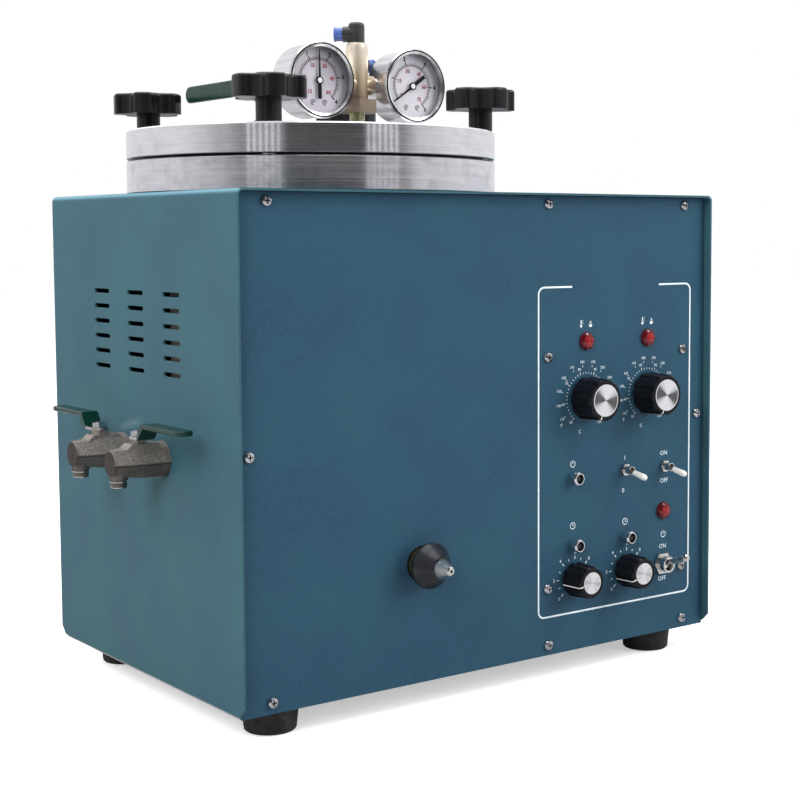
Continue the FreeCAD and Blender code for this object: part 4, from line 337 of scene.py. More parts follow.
def lens_finish():
    """Clear gauge glass: mostly see-through, with a sharp reflection."""
    g = Graph("lens_glass")
    clear = g.nodes.new("ShaderNodeBsdfTransparent")
    gloss = g.nodes.new("ShaderNodeBsdfGlossy")
    gloss.inputs["Roughness"].default_value = 0.03
    g.put(gloss.inputs["Normal"], g.bump(g.noise(9.0, 1.0), 0.15, 1.0 * MM))
    edge = g.nodes.new("ShaderNodeFresnel")
    edge.inputs["IOR"].default_value = 1.35
    both = g.nodes.new("ShaderNodeMixShader")
    g.put(both.inputs[0], g.times(edge.outputs[0], 0.20))
    g.put(both.inputs[1], clear.outputs[0])
    g.put(both.inputs[2], gloss.outputs[0])
    g.put(g.nodes["Material Output"].inputs["Surface"], both.outputs[0])
    return g.material


def face_finish(name, middle, shaded, lit):
    """Satin white enamel with a painted shadow under the rim, darker from the lower left to the upper right.
    """
    g = Graph(name)
    x, _, z = g.from_point(middle)
    # painted shadow under the rim: darker toward the upper right
    rise = g.plus(g.times(x, 0.80), g.times(z, 0.60))
    shade = g.plus(g.span(rise, 0.0, 0.9, 0.0, 22 * MM), g.times(g.noise(60.0, 3.0), 0.12))
    g.set(Base_Color=g.ramp(shade, (0.05, lit), (0.95, shaded)), Roughness=0.55)
    return g.material


def cast_metal(name, pale, axis_z=None):
    """Sand-cast, nickel-washed brass; below axis_z it is smoother and darker with painted shade, under a thin
    dark line along axis_z.
    """
    g = Graph(name)
    grain = g.noise(1500.0, 4.0)
    stain = g.noise(110.0, 4.0)
    hollow, crest, stained = [tuple(tone * pale for tone in colour) for colour in
                              ((0.125, 0.105, 0.092), (0.400, 0.355, 0.320), (0.19, 0.16, 0.135))]
    skin = g.ramp(grain, (0.36, hollow), (0.64, crest))
    colour = g.mix(g.span(stain, 0.0, 0.40, 0.42, 0.70), skin, stained)
    height = grain
    if axis_z is not None:
        # below axis_z: painted shade, darker and smoother; a thin dark line along axis_z
        up = g.from_point((0, 0, axis_z))[2]
        below = g.span(up, 1.0, 0.0, -0.45 * MM, -0.15 * MM)
        smooth = g.ramp(stain, (0.35, (0.105, 0.092, 0.082)), (0.70, (0.160, 0.142, 0.128)))
        line = g.span(g.size(up), 0.80, 0.0, 0.25 * MM, 0.85 * MM)
        colour = g.mix(line, g.mix(below, colour, smooth), (0.024, 0.020, 0.018))
        height = g.mix(below, grain, (0.5, 0.5, 0.5))
    g.set(Base_Color=colour, Metallic=0.60, Roughness=g.span(grain, 0.58, 0.40, 0.3, 0.7),
          Normal=g.bump(height, 0.75, 0.16 * MM))
    return g.material


def barrel_finish():
    """Pale brass barrel with a painted highlight, cream with bright streaks at its dome, and painted shade,
    browner toward the hexagon.
    """
    g = Graph("barrel_brass")
    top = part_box("gauge_manifold")[1].z
    # painted highlight cream toward the dome with bright streaks, painted shade browner toward the hexagon
    share = g.span(g.from_point((0, 0, top))[2], 0.0, 1.0, -HEXAGON_TOP, 0.0)
    highlight_streaks = g.times(g.noise(1.0, 4.0, (500.0, 500.0, 60.0)), 0.35)
    colour = g.ramp(g.plus(share, highlight_streaks), (0.15, (0.27, 0.20, 0.14)), (0.55, (0.52, 0.41, 0.28)),
                    (0.95, (0.74, 0.65, 0.52)))
    g.set(Base_Color=colour, Metallic=0.55, Roughness=0.32,
          Normal=g.bump(g.noise(700.0, 4.0), 0.4, 0.03 * MM))
    return g.material


def case_steel(name):
    """Polished gauge case: soft grey bands along its length, painted reflections."""
    g = Graph(name)
    # painted reflections: grey bands along the polished case
    bands = g.noise(1.0, 3.0, (95.0, 3.0, 95.0))
    g.set(Base_Color=g.ramp(bands, (0.36, (0.42, 0.42, 0.44)), (0.50, (0.80, 0.80, 0.81)),
                            (0.66, (0.92, 0.92, 0.92))),
          Metallic=0.9, Roughness=0.20, Normal=g.bump(g.noise(9.0, 1.0), 0.05, 0.5 * MM))
    return g.material


# ------------------------------------------------------------------ finishes
LID_GAP = 0.8 * MM         # between the pot's flange and the lid
GAP_SHADE_DEPTH = 16 * MM      # how far in the joint the painted shade reaches
# painted shade in the joint: its tone inside, then at the outer edge
GAP_SHADE_INSIDE = (0.11, 0.11, 0.115)
GAP_SHADE_AT_EDGE = (0.010, 0.010, 0.012)
# painted highlight on the lid's top edge and on the rims of the dial caps
RIM_HIGHLIGHT = (0.66, 0.66, 0.68)
# painted highlight along the case's top bends
BEND_HIGHLIGHT = (0.17, 0.36, 0.45)
SCUFF_FORWARD = -11.0 * MM # from the rear side valve's ball to the middle of the scuff
SCUFF_UP = 20.0 * MM
SCUFF_SLOPE = 0.24
SCUFF_HALF_H = 4.5 * MM
SCUFF_HALF_L = 22 * MM
SCUFF_STRENGTH = 0.42
SCUFF_TONE = (0.45, 0.56, 0.58)
HEXAGON_TOP = 41.0 * MM    # the manifold's hexagon, down from the manifold's top
HEXAGON_FOOT = 50.5 * MM
COAT_SIDE = powder_coat("powder_coat_cover", (0.0290, 0.0790, 0.1060), (0.0450, 0.1100, 0.1430), 0.60,
                        cover_wear)
COAT_PANEL = powder_coat("powder_coat_panel", (0.0190, 0.0570, 0.0960), (0.0270, 0.0770, 0.1280), 0.35)
BLACK_GLOSS = plain("black_moulding", (0.005, 0.005, 0.006), (0.010, 0.010, 0.011), 0.24, scale=40,
                    shine=0.32)
DIAL_BODY = plain("dial_body", (0.004, 0.004, 0.006), (0.008, 0.008, 0.011), 0.30, scale=40, shine=0.20)
BLACK_MATT = plain("black_matt", (0.010, 0.010, 0.011), (0.022, 0.022, 0.024), 0.45, depth=0.04)
DARK_BLUE_BLACK = plain("collar_black", (0.004, 0.005, 0.008), (0.010, 0.012, 0.018), 0.30, depth=0.02)
LENS = lens_finish()
CHROME = plain("chrome", (0.78, 0.78, 0.79), (0.88, 0.88, 0.89), 0.10, 1.0, depth=0.005)
STEEL = plain("bright_steel", (0.66, 0.65, 0.63), (0.80, 0.79, 0.77), 0.22, 1.0, grain=1500, depth=0.01)
SCREW_CHROME = plain("screw_chrome", (0.46, 0.46, 0.48), (0.66, 0.66, 0.68), 0.13, 1.0, scale=300, depth=0.01)
SHEET_METAL = plain("zinc_sheet", (0.46, 0.47, 0.48), (0.60, 0.61, 0.62), 0.42, 1.0, scale=120)
HEXAGON_BRASS = plain("hexagon_brass", (0.27, 0.21, 0.15), (0.38, 0.30, 0.22), 0.36, 0.55, scale=60,
                      depth=0.04)
NECK_BRASS = plain("neck_brass", (0.34, 0.33, 0.16), (0.58, 0.56, 0.36), 0.30, 0.6, scale=260, depth=0.04)
PLUG_BRASS = plain("plug_brass", (0.56, 0.46, 0.37), (0.70, 0.60, 0.51), 0.36, 0.60, scale=60, depth=0.04)
ELBOW_BLACK = plain("elbow_black", (0.020, 0.020, 0.023), (0.038, 0.038, 0.042), 0.36, scale=60, depth=0.03)
LED_DARK = plain("led_dark", (0.010, 0.012, 0.016), (0.020, 0.026, 0.026), 0.12, scale=200, depth=0.02)
BLOCK_BRASS = plain("block_brass", (0.58, 0.42, 0.17), (0.70, 0.53, 0.26), 0.34, 1.0)
LID_METAL = turned_metal("turned_lid", (0.86, 0.85, 0.87), (0.70, 0.70, 0.73), 0.14, 0.25)
POT_METAL = turned_metal("turned_flange", (0.84, 0.83, 0.86), (0.66, 0.66, 0.70), 0.19, 0.45)
CAST = cast_metal("cast_nickel", 0.8)
CAST_END = plain("cast_end", (0.022, 0.018, 0.016), (0.046, 0.038, 0.033), 0.60, 0.25, scale=160, depth=0.05)
RUBBER = plain("foot_rubber", (0.012, 0.012, 0.013), (0.030, 0.030, 0.032), 0.7, scale=60.0, depth=0.1)
SILICONE = plain("silicone", (0.40, 0.06, 0.03), (0.52, 0.10, 0.06), 0.55)
FELT = plain("felt", (0.52, 0.49, 0.40), (0.70, 0.67, 0.58), 0.95, grain=350, depth=0.6)
BLUE = plain("blue_ring", (0.055, 0.110, 0.360), (0.085, 0.160, 0.470), 0.30)
WHITE = plain("white_print", (0.66, 0.76, 0.80), (0.80, 0.88, 0.92), 0.5, scale=300, depth=0.01)
HUB_WHITE = plain("hub_white", (0.72, 0.72, 0.72), (0.84, 0.84, 0.84), 0.4, scale=300, depth=0.01)
WHITE_SLEEVE = plain("white_sleeve", (0.72, 0.71, 0.66), (0.85, 0.84, 0.80), 0.28)
DIAL_BLACK = plain("dial_black", (0.006, 0.006, 0.008), (0.014, 0.014, 0.016), 0.6, scale=300, shine=0.1)
DIAL_RED = plain("dial_red", (0.20, 0.02, 0.03), (0.28, 0.04, 0.05), 0.6, scale=300, shine=0.2)
JOINT_BLACK = plain("joint_black", (0.003, 0.003, 0.004), (0.006, 0.006, 0.007), 0.6, scale=300, shine=0.05)
NEEDLE = plain("needle_black", (0.004, 0.004, 0.005), (0.009, 0.009, 0.010), 0.5, shine=0.15)
ENAMEL = plain("motor_enamel", (0.015, 0.018, 0.022), (0.03, 0.034, 0.04), 0.4)
IRON = plain("core_iron", (0.10, 0.09, 0.08), (0.22, 0.20, 0.18), 0.55, 0.8, scale=200)
BOARD = plain("board_green", (0.008, 0.10, 0.04), (0.015, 0.16, 0.07), 0.4)
SPRING = plain("spring_steel", (0.45, 0.45, 0.46), (0.62, 0.62, 0.63), 0.3, 1.0)
GAUGE_STEEL = case_steel("gauge_steel")
FINISHES = {
    "cover": COAT_SIDE, "front_panel": COAT_PANEL, "back_panel": COAT_PANEL, "bottom_pan": SHEET_METAL,
    "rubber_feet": RUBBER, "case_screws": SCREW_CHROME, "control_frame": SHEET_METAL, "wax_pot": POT_METAL,
    "pot_gasket": SILICONE, "heater_band": SHEET_METAL, "pot_insulation": FELT, "pot_legs": SHEET_METAL,
    "lid_studs": STEEL, "lid_plate": LID_METAL, "elbow_fittings": ELBOW_BLACK, "release_rings": BLUE,
    "gauge_cases": GAUGE_STEEL, "gauge_lenses": LENS, "lid_valve_body": CAST, "lid_valve_ball": CHROME,
    "lid_plug": PLUG_BRASS, "injector_block": BLOCK_BRASS, "block_heater": STEEL, "nozzle_switch": BLACK_MATT,
    "injection_nozzle": STEEL, "nozzle_collar": DARK_BLUE_BLACK, "nozzle_spring": SPRING,
    "dial_potentiometers": SHEET_METAL, "toggle_bodies": STEEL, "pump_mounts": RUBBER, "pump_motor": ENAMEL,
    "pump_head": SHEET_METAL, "transformer": IRON, "control_board": BOARD, "solenoid_valves": BLACK_MATT,
    "air_ports": BLACK_MATT, "power_inlet": BLACK_MATT, "gauge_needle_left": NEEDLE,
    "gauge_needle_right": NEEDLE, "side_ball_rear": SCREW_CHROME, "side_ball_front": SCREW_CHROME,
    "toggle_power": STEEL,
}
KNOBS = ["star_knob_" + corner for corner in ("back_right", "back_left", "front_left", "front_right")]
DIALS = ["temp_dial_1", "temp_dial_2", "time_dial_1", "time_dial_2"]
OUTLET_R = 5.2 * MM        # side valves' outlets, and their place left of and below the valve's ball
OUTLET_OFF = 14.3 * MM
OUTLET_ROOT = 10.6 * MM
CAP_RINGS = 16000.0        # radians of ring pattern per metre on the dials' caps
REFLECTION_FAN_MIDDLE = 76.0          # degrees round from +x: where the bright fans of the caps' painted reflection point
# tone of the dark sectors in the caps' painted reflection
CAP_REFLECTION_DARK = {"temp": 0.085, "time": 0.42}
SLEEVE_SHARE = 0.42        # of a toggle's length from the back of its lever, in bare steel
# each lever with the ball it turns, the axis of its stem (0 is x, 2 is z), and its bare length from the stem
LEVERS = (("side_lever_rear", "side_ball_rear", 2, 9.8 * MM),
          ("side_lever_front", "side_ball_front", 2, 9.8 * MM),
          ("lid_valve_lever", "lid_valve_ball", 0, 7.5 * MM))


def finish_node(name, *materials):
    """Give a node these materials, with the first on every face."""
    mesh = NODES[name].data
    mesh.materials.clear()
    for material in materials:
        mesh.materials.append(material)
    for face in mesh.polygons:
        face.material_index = 0


def repaint(name, index, wanted):
    """Give a finish to the faces whose middle passes a test."""
    for face in NODES[name].data.polygons:
        if wanted(face.center):
            face.material_index = index


def finish_nodes():
    for name, material in FINISHES.items():
        finish_node(name, material)
    for name in KNOBS:
        finish_node(name, BLACK_GLOSS)
    for name, ball, stem_axis, bare in LEVERS:
        finish_node(name, lever_finish(name + "_vinyl", centre(ball), stem_axis, bare))


def finish_dials():
    """Black bodies with a metal cap in the front."""
    for name in DIALS:
        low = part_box(name)[0]
        middle = centre(name)
        cap_r = cap_radius(name)
        finish_node(name, DIAL_BODY, spun_metal(name + "_cap", middle, cap_r, CAP_REFLECTION_DARK[name[:4]]))
        repaint(name, 1, lambda p: p.y < low.y + 1.1 * MM and across(p, middle) < cap_r + 0.02 * MM)


def across(point, middle):
    """Distance of a point from an axis that runs front to back."""
    return math.hypot(point.x - middle.x, point.z - middle.z)


def cap_radius(name):
    """Radius of a dial's metal cap, from the mesh of its front face."""
    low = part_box(name)[0]
    middle = centre(name)
    return max(across(v.co, middle) for v in NODES[name].data.vertices if v.co.y < low.y + 0.02 * MM)


def finish_manifold():
    """Barrel, hexagon and threaded neck of the manifold, from the top down."""
    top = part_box("gauge_manifold")[1].z
    finish_node("gauge_manifold", barrel_finish(), HEXAGON_BRASS, NECK_BRASS)
    repaint("gauge_manifold", 1, lambda p: p.z < top - HEXAGON_TOP + 0.1 * MM)
    repaint("gauge_manifold", 2, lambda p: p.z < top - HEXAGON_FOOT - 0.1 * MM)


def finish_side_valves():
    """Castings darker below the height of their bore with painted shade, a thin dark line at that height, and
    a dark disc at the end.
    """
    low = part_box("side_valve_bodies")[0]
    axis_z = ball_middle("side_ball_rear").z
    finish_node("side_valve_bodies", cast_metal("cast_valve", 1.25, axis_z), CAST_END)
    repaint("side_valve_bodies", 1, lambda p: p.x < low.x + 0.1 * MM)


def outlet_rims():
    """Bright metal bands at the root and the mouth of each side valve's outlet: a painted highlight on their
    edges.
    """
    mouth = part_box("side_valve_bodies")[0].z + 0.4 * MM
    mesh = bmesh.new()
    for ball in ("side_ball_rear", "side_ball_front"):
        axis = ball_middle(ball)
        for z, proud in ((axis.z - OUTLET_ROOT, 0.75), (mouth, 0.05)):
            band(mesh, Vector((axis.x - OUTLET_OFF, axis.y, z)), OUTLET_R + proud * MM, 0.5 * MM)
    make_piece("outlet_rims", mesh, SCREW_CHROME, "case", True)


def band(mesh, middle, radius, tall, steps=40):
    """A thin upright hoop, open above and below."""
    rows = []
    for dz in (-tall / 2, tall / 2):
        rows.append([mesh.verts.new(middle + Vector((radius * math.cos(2 * math.pi * i / steps),
                                                     radius * math.sin(2 * math.pi * i / steps), dz)))
                     for i in range(steps)])
    for i in range(steps):
        mesh.faces.new((rows[0][i - 1], rows[0][i], rows[1][i], rows[1][i - 1]))


def finish_leds():
    """Bright bezels with a dark lens in each."""
    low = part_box("led_bezels")[0]
    rims = round_fronts("led_bezels", low.y, 12 * MM)
    finish_node("led_bezels", CHROME, LED_DARK)
    repaint("led_bezels", 1, lambda p: any(across(p, middle) < 0.82 * radius for middle, radius in rims))


def finish_lamps():
    finish_node("indicator_lamps", lamp_finish())


def finish_gauge_faces():
    """Each face with a painted shadow under the rim, a little darker toward its upper right; the left face is
    in deeper painted shade than the right.
    """
    left, right = gauge_middles()
    finish_node("gauge_dials", face_finish("dial_white_left", left, (0.17, 0.165, 0.195), (0.58, 0.55, 0.61)),
                face_finish("dial_white_right", right, (0.36, 0.35, 0.40), (0.68, 0.66, 0.71)))
    repaint("gauge_dials", 1, lambda p: p.x > (left.x + right.x) / 2)


def finish_toggles():
    """Steel levers with a white sleeve on the front."""
    for name in ("toggle_mode", "toggle_vacuum"):
        low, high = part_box(name)
        finish_node(name, STEEL, WHITE_SLEEVE)
        edge = high.y - SLEEVE_SHARE * (high.y - low.y)
        repaint(name, 1, lambda p: p.y < edge)


# ------------------------------------------------------------------ printed marks and small pieces
SIZE_PER_HEIGHT = 1.38     # size of the built-in font for letters one unit high


class Drawing:
    """Flat marks on a plane that faces the front, in millimetres from its origin, gathered in one mesh."""

    def __init__(self, origin):
        self.mesh = bmesh.new()
        self.origin = origin

    def point(self, x, z):
        return self.origin + Vector((x * MM, -INK, z * MM))

    def area(self, points):
        corners = [self.mesh.verts.new(self.point(x, z)) for x, z in points]
        face = self.mesh.faces.new(corners)
        face.normal_update()
        if face.normal.y > 0:
            face.normal_flip()

    def line(self, start, end, width):
        run = Vector(end) - Vector(start)
        side = Vector((-run.y, run.x)).normalized() * width / 2
        a, b = Vector(start), Vector(end)
        self.area([a - side, b - side, b + side, a + side])

    def ray(self, middle, degrees, inner, outer, width):
        d = Vector((math.cos(math.radians(degrees)), math.sin(math.radians(degrees))))
        self.line(Vector(middle) + d * inner, Vector(middle) + d * outer, width)

    def arc(self, middle, radius, start, end, width, steps=12):
        turns = [math.radians(start + (end - start) * i / steps) for i in range(steps + 1)]
        for a, b in zip(turns, turns[1:]):
            inner, outer = radius - width / 2, radius + width / 2
            self.area([(middle[0] + r * math.cos(t), middle[1] + r * math.sin(t))
                       for r, t in ((inner, a), (outer, a), (outer, b), (inner, b))])

    def dot(self, middle, radius, steps=14):
        turns = [2 * math.pi * i / steps for i in range(steps)]
        self.area([(middle[0] + radius * math.cos(t), middle[1] + radius * math.sin(t)) for t in turns])

    def text(self, words, middle, height, bold=0.0):
        curve = bpy.data.curves.new("words", "FONT")
        curve.offset = bold * MM
        curve.body = words
        curve.size = height * SIZE_PER_HEIGHT * MM
        curve.align_x = "CENTER"
        curve.align_y = "CENTER"
        curve.resolution_u = 2
        holder = bpy.data.objects.new("words", curve)
        bpy.context.scene.collection.objects.link(holder)
        bpy.context.view_layer.update()
        flat = bpy.data.meshes.new_from_object(holder)
        stand = Matrix.Translation(self.point(*middle)) @ Matrix.Rotation(math.pi / 2, 4, "X")
        flat.transform(stand)
        self.mesh.from_mesh(flat)
        bpy.data.objects.remove(holder)
        bpy.data.curves.remove(curve)
        bpy.data.meshes.remove(flat)

    def finish(self, name, material, body, slot):
        return make_piece(name, self.mesh, material, body)


def make_piece(name, mesh, material, body, smooth=False):
    data = bpy.data.meshes.new(name)
    mesh.to_mesh(data)
    mesh.free()
    for face in data.polygons:
        face.use_smooth = smooth
    data.materials.append(material)
    piece = bpy.data.objects.new(name, data)
    bpy.context.scene.collection.objects.link(piece)
    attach(piece, body)
    return piece


# on the panel, x and z are millimetres from the middle of the case's floor
BORDER = (37.6, 186.0, 45.0, 279.0)    # left, right, low and high
BORDER_LINE = 1.3
BORDER_CORNER = 5.0
HEADING_GAP = (68.5, 153.5)
# on a scale, radii are millimetres from the dial's middle and turns are degrees round from +x
TEMP_FIRST = 50            # degrees Celsius at the scale's first mark, and its turn
TEMP_START = -131.0
TEMP_TURN = 4.05           # for one degree Celsius
TEMP_NUMBER = 2.1
CELSIUS_R = 17.6
CELSIUS_NUMBERS_R = 21.9
FAHRENHEIT_R = 22.6
FAHRENHEIT_NUMBERS_R = 26.4
TIME_START = -137.0
TIME_TURN = 22.5           # for one mark
TIME_NUMBER = 2.5
TIME_R = 14.2
TIME_NUMBERS_R = 19.2
WORD = 3.4


def border(drawing):
    """The printed frame round the controls, open at the top for a heading."""
    left, right, low, high = BORDER
    c = BORDER_CORNER
    drawing.line((left, low + c), (left, high - c), BORDER_LINE)
    drawing.line((right, low + c), (right, high - c), BORDER_LINE)
    drawing.line((left + c, low), (right - c, low), BORDER_LINE)
    drawing.line((left + c, high), (HEADING_GAP[0], high), BORDER_LINE)
    drawing.line((HEADING_GAP[1], high), (right - c, high), BORDER_LINE)
    for x, z, start in ((left + c, low + c, 180), (right - c, low + c, 270),
                        (right - c, high - c, 0), (left + c, high - c, 90)):
        drawing.arc((x, z), c, start, start + 90, BORDER_LINE)


def polar(middle, radius, degrees):
    turn = math.radians(degrees)
    return (middle[0] + radius * math.cos(turn), middle[1] + radius * math.sin(turn))


def temp_scale(drawing, middle):
    """Two rings of marks: degrees Celsius inside, Fahrenheit outside."""
    for celsius in range(TEMP_FIRST, 121, 2):
        turn = TEMP_START - TEMP_TURN * (celsius - TEMP_FIRST)
        long_mark = celsius % 10 == 0
        drawing.ray(middle, turn, CELSIUS_R, CELSIUS_R + (2.2 if long_mark else 1.3), 0.45)
        if long_mark:
            drawing.text(str(celsius), polar(middle, CELSIUS_NUMBERS_R, turn), TEMP_NUMBER)
    for fahrenheit in range(130, 241, 10):
        turn = TEMP_START - TEMP_TURN * ((fahrenheit - 32) / 1.8 - TEMP_FIRST)
        drawing.ray(middle, turn, FAHRENHEIT_R, FAHRENHEIT_R + 1.4, 0.4)
        drawing.text(str(fahrenheit), polar(middle, FAHRENHEIT_NUMBERS_R, turn), TEMP_NUMBER)
    drawing.text("C", polar(middle, 24.6, -104), 2.6)
    drawing.text("F", polar(middle, 29.6, -142), 2.6)


def time_scale(drawing, middle):
    """One ring of marks, with every second one long and numbered."""
    for step in range(13):
        turn = TIME_START - TIME_TURN * step
        long_mark = step % 2 == 0
        drawing.ray(middle, turn, TIME_R, TIME_R + (2.4 if long_mark else 1.5), 0.6)
        if long_mark:
            drawing.text(str(step), polar(middle, TIME_NUMBERS_R, turn), TIME_NUMBER)


def clock_icon(drawing, x, z):
    drawing.arc((x, z), 2.3, 0, 360, 0.45, 20)
    drawing.line((x, z), (x, z + 1.7), 0.4)
    drawing.line((x, z), (x + 1.2, z), 0.4)


def thermometer_icon(drawing, x, z):
    drawing.dot((x, z - 1.6), 1.1)
    drawing.line((x, z - 1.2), (x, z + 2.6), 0.9)
    for i in range(3):
        drawing.line((x + 1.1, z + i * 1.1), (x + 2.0, z + i * 1.1), 0.35)


def drop_icon(drawing, x, z):
    drawing.dot((x, z - 0.7), 1.5)
    drawing.area([(x - 1.35, z - 0.1), (x + 1.35, z - 0.1), (x, z + 2.6)])


def power_icon(drawing, x, z):
    drawing.arc((x, z), 2.2, 120, 420, 0.5, 20)
    drawing.line((x, z), (x, z + 2.8), 0.5)


PANEL_ICONS = ((thermometer_icon, 77.0, 252.5), (drop_icon, 86.0, 252.0), (thermometer_icon, 137.0, 252.5),
               (drop_icon, 146.0, 252.0), (power_icon, 69.5, 152.5), (clock_icon, 69.5, 108.0),
               (clock_icon, 120.5, 105.5), (power_icon, 159.5, 91.5))
PANEL_WORDS = (("1", 120.0, 152.5), ("0", 118.5, 128.5), ("ON", 159.5, 152.8), ("OFF", 160.0, 132.0),
               ("ON", 159.0, 82.3), ("OFF", 158.5, 57.8))


def panel_print():
    """Border, scales and plain signs of the controls."""
    drawing = Drawing(on_panel(0, 0))
    border(drawing)
    for name in DIALS:
        middle = centre(name)
        scale = temp_scale if name.startswith("temp") else time_scale
        scale(drawing, ((middle.x - MIDDLE_X) / MM, middle.z / MM))
    for icon, x, z in PANEL_ICONS:
        icon(drawing, x, z)
    for word, x, z in PANEL_WORDS:
        drawing.text(word, (x, z), WORD)
    drawing.finish("panel_print", WHITE, "case", "dial_white")


def gauge_middles():
    """Centres of both dials, on the dials' front face."""
    low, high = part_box("gauge_dials")
    radius = (high.z - low.z) / 2
    return [Vector((x, low.y, (low.z + high.z) / 2)) for x in (low.x + radius, high.x - radius)]


GAUGE_SWEEP = -270.0
GAUGE_START = {"left": 225.0, "right": 216.0}
BLACK_MARKS = 50           # spaces between the marks
RED_MARKS = 30
MARKS_R = 15.2             # foot of the black marks; the red ones end on the same circle
OUTER_NUMBERS_R = 20.6
INNER_NUMBERS_R = 11.4


def gauge_print(side, middle, outer_values, inner_values):
    """Marks and plain numbers of one gauge face: black outside, red inside."""
    black, red = Drawing(middle), Drawing(middle)
    start = GAUGE_START[side]
    for i in range(BLACK_MARKS + 1):
        turn = start + GAUGE_SWEEP * i / BLACK_MARKS
        tall, wide = (3.2, 0.9) if i % 10 == 0 else (2.4 if i % 5 == 0 else 1.7, 0.55)
        black.ray((0, 0), turn, MARKS_R, MARKS_R + tall, wide)
    for i in range(RED_MARKS + 1):
        turn = start + GAUGE_SWEEP * i / RED_MARKS
        red.ray((0, 0), turn, MARKS_R - (1.8 if i % 6 == 0 else 1.1), MARKS_R, 0.5)
    black.arc((0, 0), MARKS_R, start + GAUGE_SWEEP, start, 0.35, 40)
    for drawing, values, radius, height, bold in ((black, outer_values, OUTER_NUMBERS_R, 2.9, 0.20),
                                                  (red, inner_values, INNER_NUMBERS_R, 2.8, 0.14)):
        for i, value in enumerate(values):
            turn = start + GAUGE_SWEEP * i / (len(values) - 1)
            drawing.text(value, polar((0, 0), radius, turn), height, bold)
    for x in (-5.0, 5.0):
        black.arc((x, -15.5), 1.7, 0, 300, 0.6, 14)
        black.dot((x, -15.5), 0.7)
    black.finish("gauge_marks_" + side, DIAL_BLACK, "lid", "needle_black")
    red.finish("gauge_numbers_" + side, DIAL_RED, "lid", "lamp_red")


def gauge_prints():
    left, right = gauge_middles()
    gauge_print("left", left, ("-1", "0", "1", "2", "3", "4"), ("-15", "0", "15", "30", "45", "60"))
    gauge_print("right", right, ("0", "1", "2", "3", "4", "5"), ("0", "15", "30", "45", "60", "75"))


def needle_hubs():
    """Light disc on the boss of each needle."""
    for side, middle in zip(("left", "right"), gauge_middles()):
        front = Vector((middle.x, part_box("gauge_needle_" + side)[0].y, middle.z))
        drawing = Drawing(front)
        drawing.dot((0, 0), 1.9, 24)
        drawing.finish("needle_hub_" + side, HUB_WHITE, "needle_" + side, "dial_white")


def bezel_lines():
    """Thin dark joint line round the front of each gauge's bezel."""
    front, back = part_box("gauge_cases")
    outer = (back.z - front.z) / 2
    for number, middle in enumerate(gauge_middles()):
        mesh = bmesh.new()
        place = Vector((middle.x, front.y - 0.02 * MM, middle.z))
        ring(mesh, place, outer - 1.9 * MM, outer - 0.9 * MM, 0.4 * MM)
        make_piece("gauge_line_%d" % (number + 1), mesh, JOINT_BLACK, "lid")


def ring(mesh, middle, inner, outer, thick, steps=64):
    """A flat ring that faces the front."""
    loops = []
    for radius, back in ((inner, 0), (outer, 0), (outer, thick), (inner, thick)):
        loops.append([mesh.verts.new(middle + Vector((radius * math.cos(2 * math.pi * i / steps), back,
                                                      radius * math.sin(2 * math.pi * i / steps))))
                      for i in range(steps)])
    for a, b in zip(loops, loops[1:] + loops[:1]):
        for i in range(steps):
            mesh.faces.new((a[i], a[i - 1], b[i - 1], b[i]))


def block(mesh, low, high):
    """A box between two corners."""
    made = bmesh.ops.create_cube(mesh, size=1.0)["verts"]
    middle, size = (low + high) / 2, high - low
    for vertex in made:
        vertex.co = Vector((vertex.co.x * size.x, vertex.co.y * size.y, vertex.co.z * size.z)) + middle


SCREW_CROSS = 1.9          # half length of the cross recess
SCREW_SLOT = 0.42          # half its width


def screw_crosses():
    """Dark crosses on the heads of the panel screws, front and back: painted shade in their cross recesses.
    """
    mesh = bmesh.new()
    for y in (end.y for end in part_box("case_screws")):
        for point, _ in round_fronts("case_screws", y, 6 * MM):
            for wide, tall in ((SCREW_CROSS, SCREW_SLOT), (SCREW_SLOT, SCREW_CROSS)):
                half = Vector((wide * MM, 0.04 * MM, tall * MM))
                block(mesh, point - half, point + half)
    make_piece("screw_recess_shade", mesh, DIAL_BLACK, "case")


def round_fronts(name, y, reach):
    """(middle, radius) of each round end face that a node has at this depth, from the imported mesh."""
    groups = []
    for p in (v.co for v in NODES[name].data.vertices if abs(v.co.y - y) < 0.02 * MM):
        near = [group for group in groups if (group[0] - p).length < reach]
        if near:
            near[0].append(p)
        else:
            groups.append([p])
    found = []
    for group in groups:
        low = Vector([min(p[i] for p in group) for i in range(3)])
        high = Vector([max(p[i] for p in group) for i in range(3)])
        found.append(((low + high) / 2, (high.z - low.z) / 2))
    return found


SPRING_WIRE = 1.3 * MM
SPRING_TURNS = 3.1
SPRING_STEPS = 110         # along the wire
SPRING_SIDES = 10          # round it


